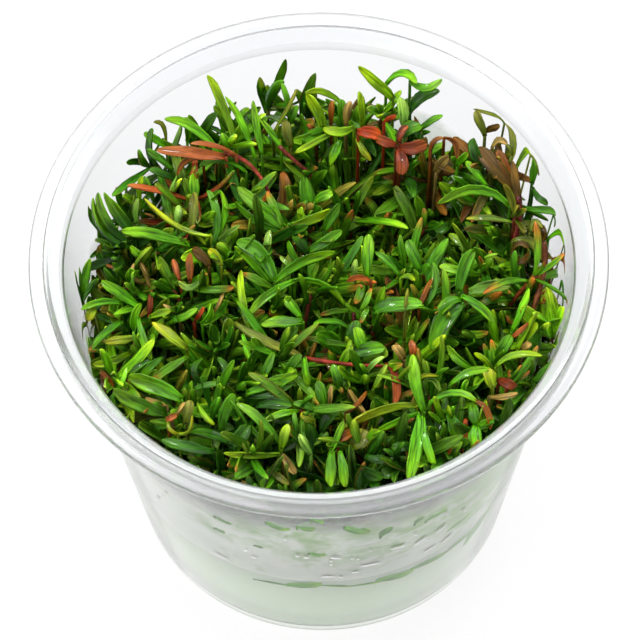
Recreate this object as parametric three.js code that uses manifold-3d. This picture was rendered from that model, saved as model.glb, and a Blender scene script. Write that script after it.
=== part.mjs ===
// A tissue-culture cup of rotala: a tapered clear plastic cup with a stepped rim, a slab of
// nutrient gel in its foot, and a crowd of narrow-leaved shoots that fills it up to the rim.
// Millimetres, +Z up, origin at the centre of the cup's standing ring.
import * as THREE from "three";
import { mergeVertices } from "three/addons/utils/BufferGeometryUtils.js";
import Module from "manifold-3d";

const wasm = await Module();
wasm.setup();

// Cup: driving sizes
const RIM_R = 50; // outer edge of the flange
const RIM_Z = 80; // top of the flange's outer edge
const RIDGE_TOP = 81; // the flat ring that a lid seals on
const RIDGE_OUT_R = 47.2;
const RIDGE_IN_R = 46.4;
const SEAT_R = 44.7; // foot of the slope that a lid plugs into
const STEP_Z = 77.2; // where the mouth turns into the wall
const MOUTH_R = 44.4; // outer radius of the wall there
const WALL = 0.75;
const BASE_R = 34.6; // outer radius of the wall, carried down to the table
const FOOT_ROUND = 1.6;
const FOOT_RING_R = 31.2; // inner edge of the standing ring
const RECESS = 1.2; // how far the floor stands off the table
const FLANGE = 0.9; // thickness of the flange
const BEAD = 1.7; // depth of the flange's outer edge
const CUP_SIDES = 46;

// Gel
const GAP = 0.3; // left between pieces that touch
const GEL_TOP = 29;
const GEL_FOOT_ROUND = 1.6;
const MENISCUS = 0.8; // how far the gel climbs the wall
const GEL_SIDES = 28;

// Crowded shoots, which touch and tangle: one lumpy mass with leaves standing out of its top
const MAT_TOP = 62;
const MAT_SIDE_LEVELS = [36, 45, 54];
const MAT_SPIKE = 3; // how far its tufts stand above or below its top
const MAT_SECTORS = 24;
const MAT_RINGS = 6;
const MAT_CLEAR = 1.1; // least gap between the crowd and the wall
const MAT_RIB = 1.8; // how much further in the stems at its side stand
const MAT_LEAVES = 52;

// Shoots that stand out of the crowd
const SHOOTS = 30; // shared out evenly over the cup
const SPREAD_R = 37;
const TIP_HEIGHT = 68.5; // of the stem tips at the middle, where the top leaves stand higher
const TIP_DROP = 1.5; // how much lower they are at the wall
const TIP_WAVE = 1.5; // slow rise and fall around the cup
const APART = 7.5; // least distance between two of them at their tips
const FOOT_SHARE = 0.84; // they lean outwards: foot radius over tip radius
const SINK = 4; // length of stem that is held in the gel
const STEM_R = 0.8;
const STEM_SIDES = 4;
const STEM_STEPS = 2;
const PAIRS = 3;
const PAIR_STEP = 3.1; // distance between leaf pairs up a stem
const LEAF_LENGTH = 10.5;
const LEAF_WIDTH = 2.3;
const LEAF_THICK = 0.9;
const GOLDEN = Math.PI * (3 - Math.sqrt(5));
const TURNS_TRIED = 40;
const WELD = 0.001; // corners nearer than this are made one

// The tallest and most coloured shoots, placed one by one: stem tip, and a leaf pair's heading
const TALL = [
  { at: [12, 34, 74], turn: 2.2 }, // tall light green one at the back
  { at: [22, 33, 73.5], turn: 0.9 },
  { at: [-15.5, 29, 72], turn: 2.0 }, // long upright leaf, back left
  { at: [-22, 21, 71], turn: 3.1 }, // coral red one
  { at: [-35, 9, 70.5], turn: 2.1 }, // closed dark bud
  { at: [34.5, 12, 74], turn: 0.1 }, // right-hand one on a bare red stem
  { at: [31.5, 23, 73], turn: 1.2 }, // brown arching one
  { at: [38, 0.5, 73.5], turn: 0.4 }, // orange-tipped one
];

const plastic = new THREE.MeshStandardMaterial({
  color: 0xe9eeee,
  roughness: 0.25,
  transparent: true,
  opacity: 0.4,
});
const agar = new THREE.MeshStandardMaterial({ color: 0xdfe8d8, roughness: 0.4 });
const darkGreen = new THREE.MeshStandardMaterial({ color: 0x24570f, roughness: 0.4 });
const leafGreen = new THREE.MeshStandardMaterial({ color: 0x4f9a1c, roughness: 0.35 });

const between = (low, high, share) => low + (high - low) * share;

// A repeatable number from 0 to 1 for piece i and purpose k
function chance(i, k) {
  const s = Math.sin(i * 12.9898 + k * 78.233) * 43758.5453;
  return s - Math.floor(s);
}

const wallOuter = (z) => between(BASE_R, MOUTH_R, z / STEP_Z);
const wallInner = (z) => wallOuter(z) - WALL;

function polar(r, heading, z) {
  return new THREE.Vector3(r * Math.cos(heading), r * Math.sin(heading), z);
}

function solidOf(geometry) {
  const bare = geometry.index ? geometry.toNonIndexed() : geometry;
  const points = new THREE.BufferGeometry().setAttribute("position", bare.getAttribute("position"));
  const merged = mergeVertices(points, WELD);
  const mesh = new wasm.Mesh({
    numProp: 3,
    vertProperties: new Float32Array(merged.attributes.position.array),
    triVerts: new Uint32Array(merged.index.array),
  });
  return new wasm.Manifold(mesh);
}

function meshOf(solid, name, material) {
  const made = solid.getMesh();
  const raw = new THREE.BufferGeometry()
    .setAttribute("position", new THREE.BufferAttribute(made.vertProperties, made.numProp))
    .setIndex(new THREE.BufferAttribute(made.triVerts, 1));
  const geometry = mergeVertices(raw, WELD);
  const corners = Array.from(geometry.index.array);
  const kept = [];
  for (let i = 0; i < corners.length; i += 3) {
    const [a, b, c] = corners.slice(i, i + 3);
    if (a !== b && b !== c && c !== a) kept.push(a, b, c);
  }
  geometry.setIndex(kept);
  geometry.computeVertexNormals();
  const mesh = new THREE.Mesh(geometry, material);
  mesh.name = name;
  return mesh;
}

// A lathe about +Z from a profile of [radius, height]
function turned(profile, sides) {
  const points = profile.map(([r, z]) => new THREE.Vector2(r, z));
  return new THREE.LatheGeometry(points, sides).rotateX(Math.PI / 2);
}

function cupGeometry() {
  const floor = RECESS + WALL;
  return turned(
    [
      [0, RECESS],
      [FOOT_RING_R - 0.8, RECESS],
      [FOOT_RING_R, 0],
      [BASE_R - FOOT_ROUND, 0],
      [BASE_R - 0.3 * FOOT_ROUND, 0.3 * FOOT_ROUND],
      [wallOuter(FOOT_ROUND), FOOT_ROUND],
      [MOUTH_R, STEP_Z],
      [RIDGE_OUT_R, RIM_Z - FLANGE],
      [RIM_R - FLANGE, RIM_Z - FLANGE - 0.3],
      [RIM_R - FLANGE, RIM_Z - BEAD],
      [RIM_R - 0.2, RIM_Z - BEAD],
      [RIM_R, RIM_Z - 0.3],
      [RIM_R - 0.4, RIM_Z],
      [RIDGE_OUT_R + 0.2, RIDGE_TOP - 0.5],
      [RIDGE_OUT_R, RIDGE_TOP],
      [RIDGE_IN_R, RIDGE_TOP],
      [SEAT_R, STEP_Z + 0.2],
      [MOUTH_R - WALL, STEP_Z],
      [wallInner(floor + 1.5), floor + 1.5],
      [wallInner(floor) - 1.2, floor],
      [0, floor],
    ],
    CUP_SIDES,
  );
}

// The gel fills the foot of the cup and climbs the wall a little at its edge
function gelGeometry() {
  const foot = RECESS + WALL + GAP;
  return turned(
    [
      [0, foot],
      [wallInner(foot) - GEL_FOOT_ROUND - GAP, foot],
      [wallInner(foot + GEL_FOOT_ROUND) - 1.5 * GAP, foot + GEL_FOOT_ROUND],
      [wallInner(GEL_TOP + MENISCUS) - 1.5 * GAP, GEL_TOP + MENISCUS],
      [wallInner(GEL_TOP) - 2.5, GEL_TOP],
      [0, GEL_TOP],
    ],
    GEL_SIDES,
  );
}

// A keeled leaf from a place, along a heading and a rise, broadest past its middle, its tip bent over
function leaf(place, heading, rise, length, swell) {
  const g = new THREE.SphereGeometry(1, 3, 2);
  const p = g.getAttribute("position");
  for (let i = 0; i < p.count; i++) {
    const end = Math.round(p.getY(i)); // 1 at the tip, -1 at the foot, 0 at the edges and the keel
    const along = end > 0 ? length + swell : end < 0 ? -swell : 0.55 * length;
    const bend = end > 0 ? -0.06 * length : end < 0 ? 0 : 0.1 * length;
    const across = p.getZ(i) * 1.155 * (LEAF_WIDTH / 2 + swell);
    p.setXYZ(i, along, across, p.getX(i) * (LEAF_THICK / 2 + swell) + bend);
  }
  return g.rotateY(-rise).rotateZ(heading).translate(place.x, place.y, place.z);
}

function stem(curve, radius) {
  const section = new THREE.Shape();
  for (let i = 0; i < STEM_SIDES; i++) {
    const a = (i / STEM_SIDES) * 2 * Math.PI;
    if (i === 0) section.moveTo(radius, 0);
    else section.lineTo(radius * Math.cos(a), radius * Math.sin(a));
  }
  section.closePath();
  return new THREE.ExtrudeGeometry(section, {
    steps: STEM_STEPS,
    curveSegments: 1,
    extrudePath: curve,
    bevelEnabled: false,
  });
}

// Tips and turns of all the shoots: the tall ones, then an even spiral that keeps clear of them
function shootPlaces() {
  const places = TALL.map(({ at, turn }) => ({ tip: new THREE.Vector3(...at), turn }));
  for (let i = 0; i < SHOOTS; i++) {
    const r = SPREAD_R * Math.sqrt((i + 0.5) / SHOOTS);
    const heading = i * GOLDEN + 0.9;
    const height = TIP_HEIGHT - TIP_DROP * (r / SPREAD_R) ** 2 + TIP_WAVE * Math.sin(3 * heading + 0.5);
    const tip = polar(r, heading, height + between(-1.5, 2, chance(i, 2)));
    const near = places.some((other) => Math.hypot(other.tip.x - tip.x, other.tip.y - tip.y) < APART);
    if (!near) places.push({ tip, turn: Math.PI * chance(i, 3) });
  }
  return places;
}

function stemCurve(tip) {
  const foot = new THREE.Vector3(tip.x * FOOT_SHARE, tip.y * FOOT_SHARE, GEL_TOP - SINK);
  const middle = foot.clone().lerp(tip, 0.6);
  middle.x -= 0.04 * tip.x;
  middle.y -= 0.04 * tip.y;
  return new THREE.CatmullRomCurve3([foot, middle, tip]);
}

// One shoot: a stem with crossed pairs of leaves, steeper and shorter at the tip
function shoot(place, i, turn, swell) {
  const curve = stemCurve(place.tip);
  let solid = solidOf(stem(curve, STEM_R + swell));
  for (let pair = 0; pair < PAIRS; pair++) {
    const spot = curve.getPointAt(1 - (pair * PAIR_STEP + 0.8) / curve.getLength());
    for (let side = 0; side < 2; side++) {
      const k = 10 * side + pair;
      const heading = turn + (pair * Math.PI) / 2 + side * Math.PI + between(-0.25, 0.25, chance(i, k + 5));
      const rise = 1.15 - 0.25 * pair + between(-0.15, 0.15, chance(i, k + 30));
      const length = LEAF_LENGTH * between(0.75, 1.05, chance(i, k + 60)) * (pair === 0 ? 0.75 : 1);
      solid = solid.add(solidOf(leaf(spot, heading, rise, length, swell)));
    }
  }
  return solid;
}

function clearOf(solid, others) {
  return others.every((other) => solid.intersect(other).isEmpty());
}

// The mass below: ribbed sides like its outermost stems, and a tufted top
function matBody() {
  const rows = [GEL_TOP + MENISCUS + GAP, ...MAT_SIDE_LEVELS].map((z, n) => ({
    height: () => z,
    radius: (s) => wallInner(z) - MAT_CLEAR - MAT_RIB * chance(s, 40 + n),
  }));
  for (let n = 0; n < MAT_RINGS; n++) {
    rows.push({
      height: (s) => MAT_TOP + MAT_SPIKE * between(-1, 1, chance(s, 60 + n)),
      radius: () => (wallInner(MAT_TOP) - MAT_CLEAR - 1) * (1 - n / MAT_RINGS),
    });
  }
  const g = new THREE.SphereGeometry(1, MAT_SECTORS, rows.length + 1);
  const p = g.getAttribute("position");
  for (let i = 0; i < p.count; i++) {
    const ring = rows.length + 1 - Math.floor(i / (MAT_SECTORS + 1)); // 0 is the pole below
    const sector = (i % (MAT_SECTORS + 1)) % MAT_SECTORS;
    const row = rows[ring - 1];
    const pole = polar(0, 0, ring === 0 ? GEL_TOP + MENISCUS + GAP : MAT_TOP);
    const heading = (sector / MAT_SECTORS) * 2 * Math.PI;
    const at = row ? polar(row.radius(sector), heading, row.height(sector)) : pole;
    p.setXYZ(i, at.x, at.y, at.z);
  }
  return solidOf(g);
}

// The mass is cut clear of the shoots that stand in it, and its own leaves are added between them
function mat(fatShoots) {
  let solid = matBody();
  for (const fat of fatShoots) solid = solid.subtract(fat);
  solid = solid.decompose().sort((a, b) => b.volume() - a.volume())[0];
  for (let i = 0; i < MAT_LEAVES; i++) {
    const r = (wallInner(MAT_TOP) - 5) * Math.sqrt((i + 0.5) / MAT_LEAVES);
    const a = i * GOLDEN;
    const outwards = chance(i, 70) < 0.5 && r < SPREAD_R - 8;
    const heading = a + (outwards ? 0 : Math.PI) + between(-1.3, 1.3, chance(i, 71));
    const rise = between(0.5, 1.1, chance(i, 72));
    const length = LEAF_LENGTH * between(0.8, 1.1, chance(i, 73));
    const blade = solidOf(leaf(polar(r, a, MAT_TOP - 3), heading, rise, length, 0));
    if (clearOf(blade, fatShoots)) solid = solid.add(blade);
  }
  return solid;
}

const group = new THREE.Group();
const cup = new THREE.Mesh(cupGeometry(), plastic);
cup.name = "cup";
group.add(cup);

const walls = [solidOf(cup.geometry)];
const shoots = [];
const fatShoots = [];
shootPlaces().forEach((place, i) => {
  for (let n = 0; n < TURNS_TRIED; n++) {
    const turn = place.turn + (n * Math.PI) / TURNS_TRIED;
    const fat = shoot(place, i, turn, GAP);
    if (clearOf(fat, [...walls, ...shoots])) {
      shoots.push(shoot(place, i, turn, 0));
      fatShoots.push(fat);
      return;
    }
  }
});

let gel = solidOf(gelGeometry());
for (const fat of fatShoots) gel = gel.subtract(fat);
group.add(meshOf(gel, "gel", agar));
group.add(meshOf(mat(fatShoots), "shoot_mat", darkGreen));
shoots.forEach((solid, i) => {
  group.add(meshOf(solid, "shoot_" + String(i + 1).padStart(2, "0"), leafGreen));
});

export default group;
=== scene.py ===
"""The looks of a tissue-culture cup of rotala: a clear moulded cup, fogged and wet inside, a slab
of milky gel in its foot, and the crowd of shoots that grows out of the gel up to the rim.
Metres, +Z up, origin under the middle of the cup, +Y away from the camera."""

import math
import random

import bmesh
import bpy
import numpy as np
from mathutils import Matrix, Vector

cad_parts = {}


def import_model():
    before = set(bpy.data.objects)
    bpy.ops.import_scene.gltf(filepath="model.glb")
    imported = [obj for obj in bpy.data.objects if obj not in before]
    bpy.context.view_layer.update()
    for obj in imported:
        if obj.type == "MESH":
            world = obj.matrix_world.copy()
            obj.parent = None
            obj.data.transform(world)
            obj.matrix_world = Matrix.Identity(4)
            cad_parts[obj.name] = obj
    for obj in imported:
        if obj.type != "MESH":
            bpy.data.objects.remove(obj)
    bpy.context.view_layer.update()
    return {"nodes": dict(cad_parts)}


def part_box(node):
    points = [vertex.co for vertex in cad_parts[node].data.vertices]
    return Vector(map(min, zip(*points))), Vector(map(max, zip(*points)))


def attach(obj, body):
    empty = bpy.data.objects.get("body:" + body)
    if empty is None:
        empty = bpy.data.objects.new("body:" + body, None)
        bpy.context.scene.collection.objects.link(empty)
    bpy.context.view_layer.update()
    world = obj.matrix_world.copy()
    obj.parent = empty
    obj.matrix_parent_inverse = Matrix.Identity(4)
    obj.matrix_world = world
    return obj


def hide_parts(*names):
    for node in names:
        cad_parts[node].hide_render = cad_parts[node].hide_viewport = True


MM = 0.001

# Cup, as in the frame: radii and heights in millimetres
RIM_R = 50.0
RIM_Z = 80.0
RIDGE_TOP = 81.0
RIDGE_OUT_R = 47.2
RIDGE_IN_R = 46.4
SEAT_R = 44.7
STEP_Z = 77.2
MOUTH_R = 44.4
WALL = 0.75
MOUTH_WALL = 0.35  # the wall thins towards the mouth
BASE_R = 34.6
FOOT_ROUND = 1.6
FOOT_RING_R = 31.2
RECESS = 1.2
FLANGE = 0.9
BEAD = 1.4
FOOT_SLOPE = 0.8
BEAD_SLOPE = 0.9
EASE = 0.1  # small steps that keep an edge from being sharp
RIDGE = 0.5
SEAT_RISE = 0.6  # the lid seat slopes inwards, so that no light runs down inside the wall
SEAT_DROP = 0.2
CUP_STEPS = 256
FOGGED, MILKY, THIN, PAINTED_HIGHLIGHT_EDGE = 1, 2, 3, 4  # the cup's finishes, after the clear one

# Gel
GEL_TOP = 29.0
GEL_GAP = 0.05
MENISCUS = 0.8
GEL_EDGE = 1.4
GEL_ROUND = 1.6
GEL_CLIMB = 3.0  # width of the band in which its skin climbs the wall
GEL_STEPS = 128

# The wall's skin, and the fog on its wet inside
THIN_IOR = 1.2
SEAT_DEPTH = (-45.0, -15.0)  # the lid seat is milkier and so lighter at the front, painted light, and clears between these depths
PAINTED_GREEN_SLOPE = (5.0, 0.0, 9.0)  # painted light: the fog's painted green of the leaves behind it grows to the right and upwards, in parts for each metre
FOG_TOP = (53.0, 62.0)  # the fog thins out between these heights
FOG_BACK = (49.0, 57.0)  # and at the back already between these
BACK_DEPTH = (-30.0, -8.0)  # between these depths the front of the wall passes into its back
BACK_DRY = 0.65  # how much of the upper fog the back lacks
FOG_EDGE = 20.0  # how far its upper edge wanders
FOG_CLOUD = 22.0  # thicker and thinner stretches of fog
PAINTED_LEAF_PATCH = 6.5  # patches of painted green light from the leaves behind, about as wide as a leaf tip is long

# Crowd of shoots
CROWD = 205
CROWD_PIECES = 6
CROWD_R = 40.5
CROWD_TIPS = (54, 66)  # lowest and highest tip
CROWD_HOLLOW = 9.0  # how far the crowd lies lower in its hollow
COLOURED = 0.3  # share of the crowd's shoots that are another colour than green
WALL_BELT = 9  # shoots this near to the crowd's edge follow the wall
STANDING = 30
STANDING_HOLLOW = 4.0
TALL_TIP = 70.4  # a shoot that ends higher is a tall one
SPREAD_R = 37.0
TIP_HEIGHT = 68.5
TIP_DROP = 1.5
TIP_WAVE = 1.5
APART = 7.5
FOOT_SHARE = 0.84
WALL_SHARE = 0.91  # for the shoots that follow the wall
SINK = 4.0
HOLLOW = (405, 215)  # pixel of the photograph where the crowd lies lower
HOLLOW_R = 17.0
GOLDEN = math.pi * (3 - math.sqrt(5))
SHADED_FRONT = -27.0  # nearer than this the crowd's shoots take the dark tone, painted shade for the front rim's shadow
WALL_CLEAR = 0.06
WET_CONTACT = 0.15  # leaves stuck to the wet wall, with no air between
PRESSED = 0.8  # depth over which a leaf gives way to the wall
WALL_PX = 2.13  # pixels of the photograph for a millimetre up the near wall
WALL_DRAFT = (MOUTH_R - BASE_R) / STEP_Z
WALL_LIFT = 2  # pixels by which the plastic shows the leaves that touch it lower
FAR_LEAVES = 84  # leaves against the wall on the sides that the photograph does not show
FAR_SIDES = (math.radians(-32), math.radians(212))
MOUTH_FLARE = 0.4  # above the step leaves may spread this much for each millimetre of height
DROP_DEPTH = 0.1
BESIDE = 6.0  # a seen leaf this near to a solid shoot belongs to it
SEEN_SHADE = 0.7  # from the colour that the photograph shows to the leaf's own
SEEN_ARCH = 0.8  # how far a seen leaf arches above the line from foot to tip

# The tallest and most coloured shoots: stem tip in millimetres, and the heading of a leaf pair
TALL = [
    ((12, 34, 74), 2.2, "lime"),
    ((22, 33, 73.5), 0.9, "dark"),
    ((-15.5, 29, 72), 2.0, "lime"),
    ((-22, 21, 71), 3.1, "coral"),
    ((-35, 9, 70.5), 2.1, "dark"),
    ((34.5, 12, 74), 0.1, "olive"),
    ((31.5, 23, 73), 1.2, "brown"),
    ((38, 0.5, 73.5), 0.4, "orange"),
]

# The photograph's camera, found from the rim's rings and the foot
PHOTO = 640
CAMERA_AWAY = 700.0  # from the middle of the rim
CAMERA_RISE = 60.25  # degrees above the rim's plane
CAMERA_DIP = 61.165  # degrees that it looks down
CAMERA_ROLL = -1.26
LENS_PX = 4069.5  # focal length in pixels of the photograph
SENSOR = 36.0
HALVINGS = 30  # steps of the search for a point on the wall

# The white tent over the cup: dimmer near the floor, as in a room
HORIZON = 0.35
ZENITH = 1.0
WINDOW = 1.8  # how much brighter the left side of the room is
FLOOR_GLOW = 0.84
LAMP_AIM = (0, 0, 0.06)


def linear(colour):
    """An sRGB hex string as a linear colour."""
    parts = [int(colour[i : i + 2], 16) / 255 for i in (0, 2, 4)]
    return tuple(c / 12.92 if c <= 0.04045 else ((c + 0.055) / 1.055) ** 2.4 for c in parts)


def between(low, high, share):
    return low + (high - low) * share


def chance(i, k):
    """The same repeatable number from 0 to 1 that places the solids."""
    s = math.sin(i * 12.9898 + k * 78.233) * 43758.5453
    return s - math.floor(s)


def wall_inner(z):
    """Inner radius of the wall at a height, in millimetres; works on arrays too."""
    outer = BASE_R + (MOUTH_R - BASE_R) * z / STEP_Z
    return outer - np.interp(z, (GEL_TOP, STEP_Z), (WALL, MOUTH_WALL))


def unit(vectors):
    return vectors / np.maximum(np.linalg.norm(vectors, axis=-1, keepdims=True), 1e-9)


def smooth(low, high, x):
    t = np.clip((x - low) / (high - low), 0, 1)
    return t * t * (3 - 2 * t)


def camera_turn():
    return Matrix.Rotation(math.radians(90 - CAMERA_DIP), 3, "X") @ Matrix.Rotation(
        math.radians(CAMERA_ROLL), 3, "Z"
    )


def camera_place():
    rise = math.radians(CAMERA_RISE)
    return Vector((0, -CAMERA_AWAY * math.cos(rise), RIM_Z + CAMERA_AWAY * math.sin(rise)))


def seen(x, y, height):
    """The point in millimetres at a height that the photograph shows at pixel x, y."""
    way = camera_turn() @ Vector((x - PHOTO / 2, PHOTO / 2 - y, -LENS_PX))
    eye = camera_place()
    return eye + way * ((height - eye.z) / way.z)


def on_wall(x, y, depth=0.0):
    """The point at pixel x, y of the photograph on the near wall, depth mm outside its inner face."""
    low, high = 0.0, STEP_Z
    for _ in range(HALVINGS):
        middle = (low + high) / 2
        at = seen(x, y, middle)
        if math.hypot(at.x, at.y) > wall_inner(middle) + depth:
            high = middle
        else:
            low = middle
    return seen(x, y, low)


# Materials


def new_material(name):
    material = bpy.data.materials.new(name)
    material.use_nodes = True
    material.node_tree.nodes.clear()
    return material, material.node_tree


def add_node(tree, kind, settings=None, links=None):
    """A node with its settings; a key that names an input sets or links that input."""
    node = tree.nodes.new(kind)
    for key, value in (settings or {}).items():
        if isinstance(key, int) or key in node.inputs:
            node.inputs[key].default_value = value
        else:
            setattr(node, key, value)
    for key, socket in (links or {}).items():
        tree.links.new(socket, node.inputs[key])
    return node


def clear_polypropylene():
    """Injection-moulded clear polypropylene: bright, faintly grey where light runs along it."""
    material, tree = new_material("clear_polypropylene")
    shader = add_node(
        tree,
        "ShaderNodeBsdfPrincipled",
        {
            "Base Color": (*linear("e8e9eb"), 1),
            "Roughness": 0.08,
            "IOR": 1.49,
            "Transmission Weight": 0.9,
        },
    )
    add_node(tree, "ShaderNodeOutputMaterial", links={"Surface": shader.outputs["BSDF"]})
    return material


def thin_polypropylene():
    """The thin tapered wall: a satin skin that mirrors the floor less than the polished flange."""
    material, tree = new_material("thin_polypropylene")
    shader = add_node(
        tree,
        "ShaderNodeBsdfPrincipled",
        {
            "Base Color": (*linear("f2f3f4"), 1),
            "Roughness": 0.1,
            "IOR": THIN_IOR,
            "Transmission Weight": 0.98,
        },
    )
    add_node(tree, "ShaderNodeOutputMaterial", links={"Surface": shader.outputs["BSDF"]})
    return material


def milky_polypropylene():
    """The same plastic where it is thick, at the lid seat: milky, and milkier towards the front as painted
    light that makes the front lighter.
    """
    material, tree = new_material("milky_polypropylene")
    place = add_node(tree, "ShaderNodeTexCoord")
    spot = add_node(tree, "ShaderNodeSeparateXYZ", links={"Vector": place.outputs["Object"]})
    clear = add_node(
        tree,
        "ShaderNodeMapRange",
        {"From Min": SEAT_DEPTH[0] * MM, "From Max": SEAT_DEPTH[1] * MM, "To Min": 0.7, "To Max": 0.97},
        {"Value": spot.outputs["Y"]},
    )
    shader = add_node(
        tree,
        "ShaderNodeBsdfPrincipled",
        {
            "Base Color": (*linear("eceef0"), 1),
            "Roughness": 0.12,
            "IOR": 1.49,
        },
        {"Transmission Weight": clear.outputs["Result"]},
    )
    add_node(tree, "ShaderNodeOutputMaterial", links={"Surface": shader.outputs["BSDF"]})
    return material


def painted_highlight_polypropylene():
    """The flange's lower edge: matt near-white, a painted highlight, so it shows as the white line of light
    along it.
    """
    material, tree = new_material("painted_highlight_polypropylene")
    shader = add_node(
        tree,
        "ShaderNodeBsdfPrincipled",
        {
            "Base Color": (*linear("fbfbfc"), 1),
            "Roughness": 0.5,
            "IOR": 1.49,
            "Transmission Weight": 0.1,
        },
    )
    add_node(tree, "ShaderNodeOutputMaterial", links={"Surface": shader.outputs["BSDF"]})
    return material


def fogged_polypropylene():
    """The wall's wet inside: fine fog that veils what stands behind it, with the green light of the leaves
    behind painted into its colour, in patches and more to the right and upwards.
    """
    material, tree = new_material("fogged_polypropylene")
    place = add_node(tree, "ShaderNodeTexCoord")
    cloud = add_node(
        tree,
        "ShaderNodeTexNoise",
        {"Scale": 1 / (FOG_CLOUD * MM), "Detail": 4.0, "Roughness": 0.6},
        {"Vector": place.outputs["Object"]},
    )
    painted_leaf_patch = add_node(
        tree,
        "ShaderNodeTexNoise",
        {"Scale": 1 / (PAINTED_LEAF_PATCH * MM), "Detail": 3.0, "Roughness": 0.6, "Distortion": 0.6},
        {"Vector": place.outputs["Object"]},
    )
    veil = add_node(
        tree,
        "ShaderNodeMapRange",
        {"From Min": 0.3, "From Max": 0.7, "To Min": 0.1, "To Max": 0.4},
        {"Value": cloud.outputs["Fac"]},
    )
    height = add_node(tree, "ShaderNodeSeparateXYZ", links={"Vector": place.outputs["Object"]})
    slope = add_node(
        tree,
        "ShaderNodeVectorMath",
        {"operation": "DOT_PRODUCT", 1: PAINTED_GREEN_SLOPE},
        {0: place.outputs["Object"]},
    )
    painted_green = add_node(
        tree,
        "ShaderNodeMath",
        {"operation": "ADD"},
        {0: slope.outputs["Value"], 1: painted_leaf_patch.outputs["Fac"]},
    )
    painted_leaf_green = add_node(
        tree,
        "ShaderNodeMapRange",
        {"From Min": 0.82, "From Max": 1.08, "To Min": 0.0, "To Max": 0.85},
        {"Value": painted_green.outputs["Value"]},
    )
    ragged = add_node(
        tree,
        "ShaderNodeMath",
        {"operation": "MULTIPLY_ADD", 1: FOG_EDGE * MM},
        {0: cloud.outputs["Fac"], 2: height.outputs["Z"]},
    )
    edge = [(z + FOG_EDGE / 2) * MM for z in FOG_TOP]
    above = add_node(
        tree,
        "ShaderNodeMapRange",
        {"From Min": edge[0], "From Max": edge[1], "To Min": 0.0, "To Max": 1.0},
        {"Value": ragged.outputs["Value"]},
    )
    behind = add_node(
        tree,
        "ShaderNodeMapRange",
        {
            "From Min": BACK_DEPTH[0] * MM,
            "From Max": BACK_DEPTH[1] * MM,
            "To Min": 0.0,
            "To Max": BACK_DRY,
        },
        {"Value": height.outputs["Y"]},
    )
    high = add_node(
        tree,
        "ShaderNodeMapRange",
        {"From Min": FOG_BACK[0] * MM, "From Max": FOG_BACK[1] * MM, "To Min": 0.0, "To Max": 1.0},
        {"Value": height.outputs["Z"]},
    )
    thinner = add_node(
        tree,
        "ShaderNodeMath",
        {"operation": "MULTIPLY"},
        {0: behind.outputs["Result"], 1: high.outputs["Result"]},
    )
    dry = add_node(
        tree,
        "ShaderNodeMath",
        {"operation": "MAXIMUM"},
        {0: above.outputs["Result"], 1: thinner.outputs["Value"]},
    )
    # painted light: the fog's colour runs from grey-white to the green of the leaves behind it
    painted_green_tint = add_node(
        tree,
        "ShaderNodeMixRGB",
        {"Color1": (*linear("e9efe4"), 1), "Color2": (*linear("96c070"), 1)},
        {"Fac": painted_leaf_green.outputs["Result"]},
    )
    colour = add_node(
        tree,
        "ShaderNodeMixRGB",
        {"Color2": (*linear("f1f1f3"), 1)},
        {"Fac": dry.outputs["Value"], "Color1": painted_green_tint.outputs["Color"]},
    )
    clear = add_node(
        tree,
        "ShaderNodeMixRGB",
        {"Color2": (0.98, 0.98, 0.98, 1)},
        {"Fac": dry.outputs["Value"], "Color1": veil.outputs["Result"]},
    )
    shader = add_node(
        tree,
        "ShaderNodeBsdfPrincipled",
        {
            "Roughness": 0.2,
            "IOR": THIN_IOR,
        },
        {"Transmission Weight": clear.outputs["Color"], "Base Color": colour.outputs["Color"]},
    )
    add_node(tree, "ShaderNodeOutputMaterial", links={"Surface": shader.outputs["BSDF"]})
    return material


def culture_gel():
    """Agar gel: milky and pale green-grey, soft light inside it, and a wet skin."""
    material, tree = new_material("culture_gel")
    shader = add_node(
        tree,
        "ShaderNodeBsdfPrincipled",
        {
            "Base Color": (*linear("d9eeca"), 1),
            "Roughness": 0.25,
            "IOR": 1.34,
            "Subsurface Weight": 1.0,
            "Subsurface Radius": (1.0, 1.0, 0.9),
            "Subsurface Scale": 0.004,
        },
    )
    add_node(tree, "ShaderNodeOutputMaterial", links={"Surface": shader.outputs["BSDF"]})
    return material


def water_with_painted_glint():
    """Drops and runs of condensed water: small glassy beads whose white body is a painted glint, so they
    show brighter than the fog.
    """
    material, tree = new_material("water_with_painted_glint")
    shader = add_node(
        tree,
        "ShaderNodeBsdfPrincipled",
        {
            # painted glint: a white body with little transmission
            "Base Color": (0.9, 0.9, 0.9, 1),
            "Roughness": 0.03,
            "IOR": 1.33,
            "Transmission Weight": 0.3,
        },
    )
    add_node(tree, "ShaderNodeOutputMaterial", links={"Surface": shader.outputs["BSDF"]})
    return material


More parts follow.
